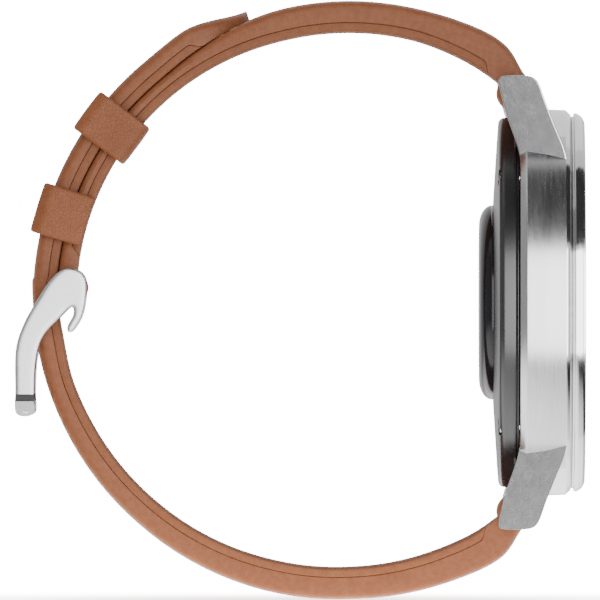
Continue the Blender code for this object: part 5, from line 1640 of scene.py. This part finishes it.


# The arms carry black rubber as their second finish, for the painted shade in the groove.
outline = smooth_loop([(BUCKLE_BAR.x + x * MM, BUCKLE_BAR.z + z * MM) for x, z in ARM_OUTLINE], 6)
arms = []
for hand in (1, -1):
    arm = tumbled_smooth(cut_out("arm", outline, hand * ARM_INNER, hand * ARM_OUTER,
                                 "cast_steel", "black_rubber", "spring_steel"))
    socket = rod("socket", ARM_INNER - MM, ARM_OUTER - 0.5 * MM, SOCKET_RADIUS, sides=40)
    combined(arm, moved(socket, across(BUCKLE_BAR, hand)), "DIFFERENCE")
    combined(arm, block(GROOVE_SIZE, Matrix.Translation(
        (CROSSBAR.x, hand * ARM_OUTER, GROOVE_Z))), "DIFFERENCE")
    slope = Matrix.Translation((CROSSBAR.x, hand * ARM_OUTER, GROOVE_Z - 0.1 * MM)) \
        @ Matrix.Rotation(-hand * END_SLOPE, 4, "X") @ Matrix.Translation((0, hand * 1.5 * MM, 0))
    combined(arm, block((6.0 * MM, 3.0 * MM, 8.0 * MM), slope), "DIFFERENCE")
    arms.append(arm)
print("arms of the buckle:", len(arms), "of", len(arms[0].data.polygons), "faces")

# %% Crossbar
TANG_REST_X = BUCKLE_BAR.x - 5.45 * MM - CROSSBAR_RADIUS    # middle of the notch under the tang
TANG_REST = (2.1 * MM, 2.2 * MM, 4.2 * MM)

crossbar = rod("buckle", -CROSSBAR_HALF, CROSSBAR_HALF, CROSSBAR_RADIUS,
               "cast_steel", "black_rubber", "spring_steel", sides=64, corner=0.2 * MM)
moved(crossbar, across(CROSSBAR))
combined(crossbar, block(TANG_REST, Matrix.Translation((TANG_REST_X, 0, CROSSBAR.z))),
         "DIFFERENCE")
buckle = joined(crossbar, arms)
# The groove's faces get the black rubber finish: painted shade for the shadow in that gap.
for face in buckle.data.polygons:
    out, height = abs(face.center.y), face.center.z - GROOVE_Z
    if ARM_INNER < out < GROOVE_FLOOR and abs(height) < GROOVE_SIZE[2] / 2 + 0.01 * MM:
        face.material_index = 1
    elif out > ARM_INNER and height < 0:
        face.material_index = 2
placed(buckle, "buckle", "buckle_frame", slot="polished_steel")

# %% Buckle bar
PIN_HALF = 11.35 * MM
PIN_RADIUS = 0.7 * MM

bar = rod("buckle_pin", -PIN_HALF, PIN_HALF, PIN_RADIUS, "polished_steel", sides=48,
          corner=0.2 * MM)
placed(moved(bar, across(BUCKLE_BAR)), "buckle", "buckle_bar", slot="polished_steel")

# %% Tang
TANG_PATH = ((-0.8, -1.0), (-1.7, -1.7), (-3.3, -3.0), (-4.8, -4.7), (-5.6, -6.9), (-6.0, -9.6),
             (-6.1, -13.9))
TANG_STEPS = 8


def oval_bar(name, places, half_sizes, finish_name, sides=20):
    """A bar of oval section along places in the side view, with its own half width and depth at
    each, closed at both ends."""
    bm = bmesh.new()
    rings = []
    last = len(places) - 1
    for i, place in enumerate(places):
        ahead = (places[min(last, i + 1)] - places[max(0, i - 1)]).normalized()
        side = Vector((ahead.z, 0, -ahead.x))
        wide, deep = half_sizes(i / last)
        rings.append([bm.verts.new(place + Vector((0, wide * math.cos(math.tau * k / sides), 0))
                                   + side * deep * math.sin(math.tau * k / sides))
                      for k in range(sides)])
    skin(bm, rings)
    return new_piece(name, bm, finish_name)


tang_line = [BUCKLE_BAR + Vector((x, 0, z)) * MM for x, z in TANG_PATH]
last = len(tang_line) - 1
fine_line = []
for i in range(last):
    four = (tang_line[min(last, max(0, i + k))] for k in (-1, 0, 1, 2))
    fine_line += curve_places(*four, TANG_STEPS)
fine_line.append(tang_line[-1])


def tang_size(share):
    """Flat and wide at the eye, thinner towards a rounded tip."""
    tip = math.sqrt(max(0.02, 1.0 - max(0.0, (share - 0.93) / 0.07) ** 2))
    return (0.78 - 0.32 * step_up(share * 1.3)) * MM * tip, 0.46 * MM * tip


tang = oval_bar("tang", fine_line, tang_size, "polished_steel")
eye = turned("eye", eased([(-0.8 * MM, 0.8 * MM), (-0.8 * MM, 1.5 * MM), (0.8 * MM, 1.5 * MM),
                           (0.8 * MM, 0.8 * MM)], 0.25 * MM), "polished_steel", sides=64)
placed(joined(tang, [moved(eye, across(BUCKLE_BAR))]), "tang", "buckle_tang",
       slot="polished_steel")

# %% [markdown]
# ## Crown and button
# The crown at two o'clock turns and presses, so it has a knurl for the finger: forty ridges, set
# round by `ring_of`. The button at four o'clock only presses, and has a plain dished top. Both
# heads run over a fixed tube, and keep a gap to the case as long as their travel.

# %% Crown
STEM_RADIUS = 0.8 * MM
STEM_END = CASE_BORE - 1.0 * MM
HEAD_UNDER = CASE_RADIUS + 1.0 * MM
HEAD_BORE = 2.44 * MM
HEAD_HEIGHTS = {"crown": 2.9 * MM, "button": 2.0 * MM}
CROWN_RADIUS = 2.86 * MM
BUTTON_RADIUS = 2.7 * MM
RIDGES = 40
RIDGE_SIZE = (1.9 * MM, 0.30 * MM, 0.46 * MM)


def pusher_head(name, radius, height, dish, *finish_names):
    """Head and stem of a pusher, turned in one piece, hollow underneath."""
    top = HEAD_UNDER + height
    profile = eased([
        (top - dish, 0.0), (top - dish * 0.2, radius * 0.62), (top, radius * 0.80),
        (top - 0.10 * MM, radius - 0.25 * MM), (top - 0.55 * MM, radius),
        (HEAD_UNDER + 0.25 * MM, radius), (HEAD_UNDER, radius - 0.3 * MM),
        (HEAD_UNDER, HEAD_BORE), (HEAD_UNDER + 0.5 * height, HEAD_BORE),
        (HEAD_UNDER + 0.5 * height, STEM_RADIUS), (STEM_END, STEM_RADIUS), (STEM_END, 0.0)],
        0.16 * MM, closed=False)
    return turned(name, profile, *finish_names, sides=96, closed=False)


crown = pusher_head("crown_head", CROWN_RADIUS, HEAD_HEIGHTS["crown"], -0.05 * MM,
                    "polished_steel", "brushed_steel")
ridge = moved(pebble(*RIDGE_SIZE, "polished_steel"), Matrix.Rotation(-90 * DEG, 4, "Y"))
knurl = ring_of("knurl", ridge, RIDGES, CROWN_RADIUS, "polished_steel")
moved(knurl, Matrix.Translation((HEAD_UNDER + 1.3 * MM, 0, 0)))
moved(joined(crown, [knurl]), out_along(PUSHER_ANGLES["crown"]))
placed(crown, "crown", "crown", slot="polished_steel")

# %% Button
button = pusher_head("button_head", BUTTON_RADIUS, HEAD_HEIGHTS["button"], 0.22 * MM,
                     "polished_steel")
moved(button, out_along(PUSHER_ANGLES["button"]))
placed(button, "button", "button", slot="polished_steel")

# %% Tubes
TUBE_BORE = 1.0 * MM
SEAL_BORE = 1.24 * MM
SEAL_DEPTH = 1.1 * MM

for name, angle in PUSHER_ANGLES.items():
    out = HEAD_UNDER + 0.5 * HEAD_HEIGHTS[name] - 0.8 * MM
    tube = turned(name + "_sleeve", eased([
        (out, TUBE_RADIUS), (CASE_BORE, TUBE_RADIUS), (CASE_BORE, TUBE_BORE),
        (out - SEAL_DEPTH, TUBE_BORE), (out - SEAL_DEPTH, SEAL_BORE), (out, SEAL_BORE)],
        0.06 * MM, steps=2), "spring_steel", sides=64)
    placed(moved(tube, out_along(angle)), "case", name + "_tube", slot="spring_steel")

# %% [markdown]
# ## Quick-release bars
# Each half hangs on a tube between its lugs. One tip of the tube is fixed. The other is a slider
# with a small lever that a fingernail can reach through the notch in the leather.

# %% Bars
TUBE_HALF = 10.3 * MM
TUBE_WALL_OUT = 0.8 * MM
TUBE_WALL_IN = 0.55 * MM
TIP_END = 12.2 * MM
TIP_RADIUS = 0.42 * MM
LEVER_Y = TUBE_HALF - 2.6 * MM
LEVER_SIZE = (0.5 * MM, 0.9 * MM, 1.9 * MM)

for hour, side in (("12", 1), ("6", -1)):
    centre = Vector((BAR_X, 0, side * BAR_Z))
    inward = (LOOP_CENTRE - centre).normalized()
    lean = Matrix.Rotation(math.atan2(inward.x, inward.z), 4, "Y")
    tube = turned("bar_%s" % hour, eased([
        (-9.3 * MM, 0.0), (-9.3 * MM, TUBE_WALL_IN), (TUBE_HALF, TUBE_WALL_IN),
        (TUBE_HALF, TUBE_WALL_OUT), (-TUBE_HALF, TUBE_WALL_OUT), (-TUBE_HALF, TIP_RADIUS),
        (-TIP_END, TIP_RADIUS), (-TIP_END, 0.0)], 0.08 * MM, steps=2, closed=False),
        "spring_steel", sides=40, closed=False)
    moved(tube, across(centre))
    combined(tube, block((0.82 * MM, 2.9 * MM, 1.6 * MM), Matrix.Translation(
        centre + inward * 0.8 * MM + Vector((0, LEVER_Y - 0.7 * MM, 0))) @ lean), "DIFFERENCE")
    placed(tube, "strap_" + hour, "bar_%s_tube" % hour, slot="spring_steel")
    slider = rod("bar_%s_lever" % hour, LEVER_Y - 1.65 * MM, TIP_END, TIP_RADIUS,
                 "polished_steel", sides=32, corner=0.14 * MM, steps=3)
    moved(slider, across(centre))
    tab = block(LEVER_SIZE, Matrix.Translation(
        centre + inward * 0.95 * MM + Vector((0, LEVER_Y, 0))) @ lean, "polished_steel")
    joined(slider, [bevelled(tab, 0.12 * MM)])
    placed(slider, "bar_%s_tip" % hour, "bar_%s_slider" % hour, slot="polished_steel")

# %% [markdown]
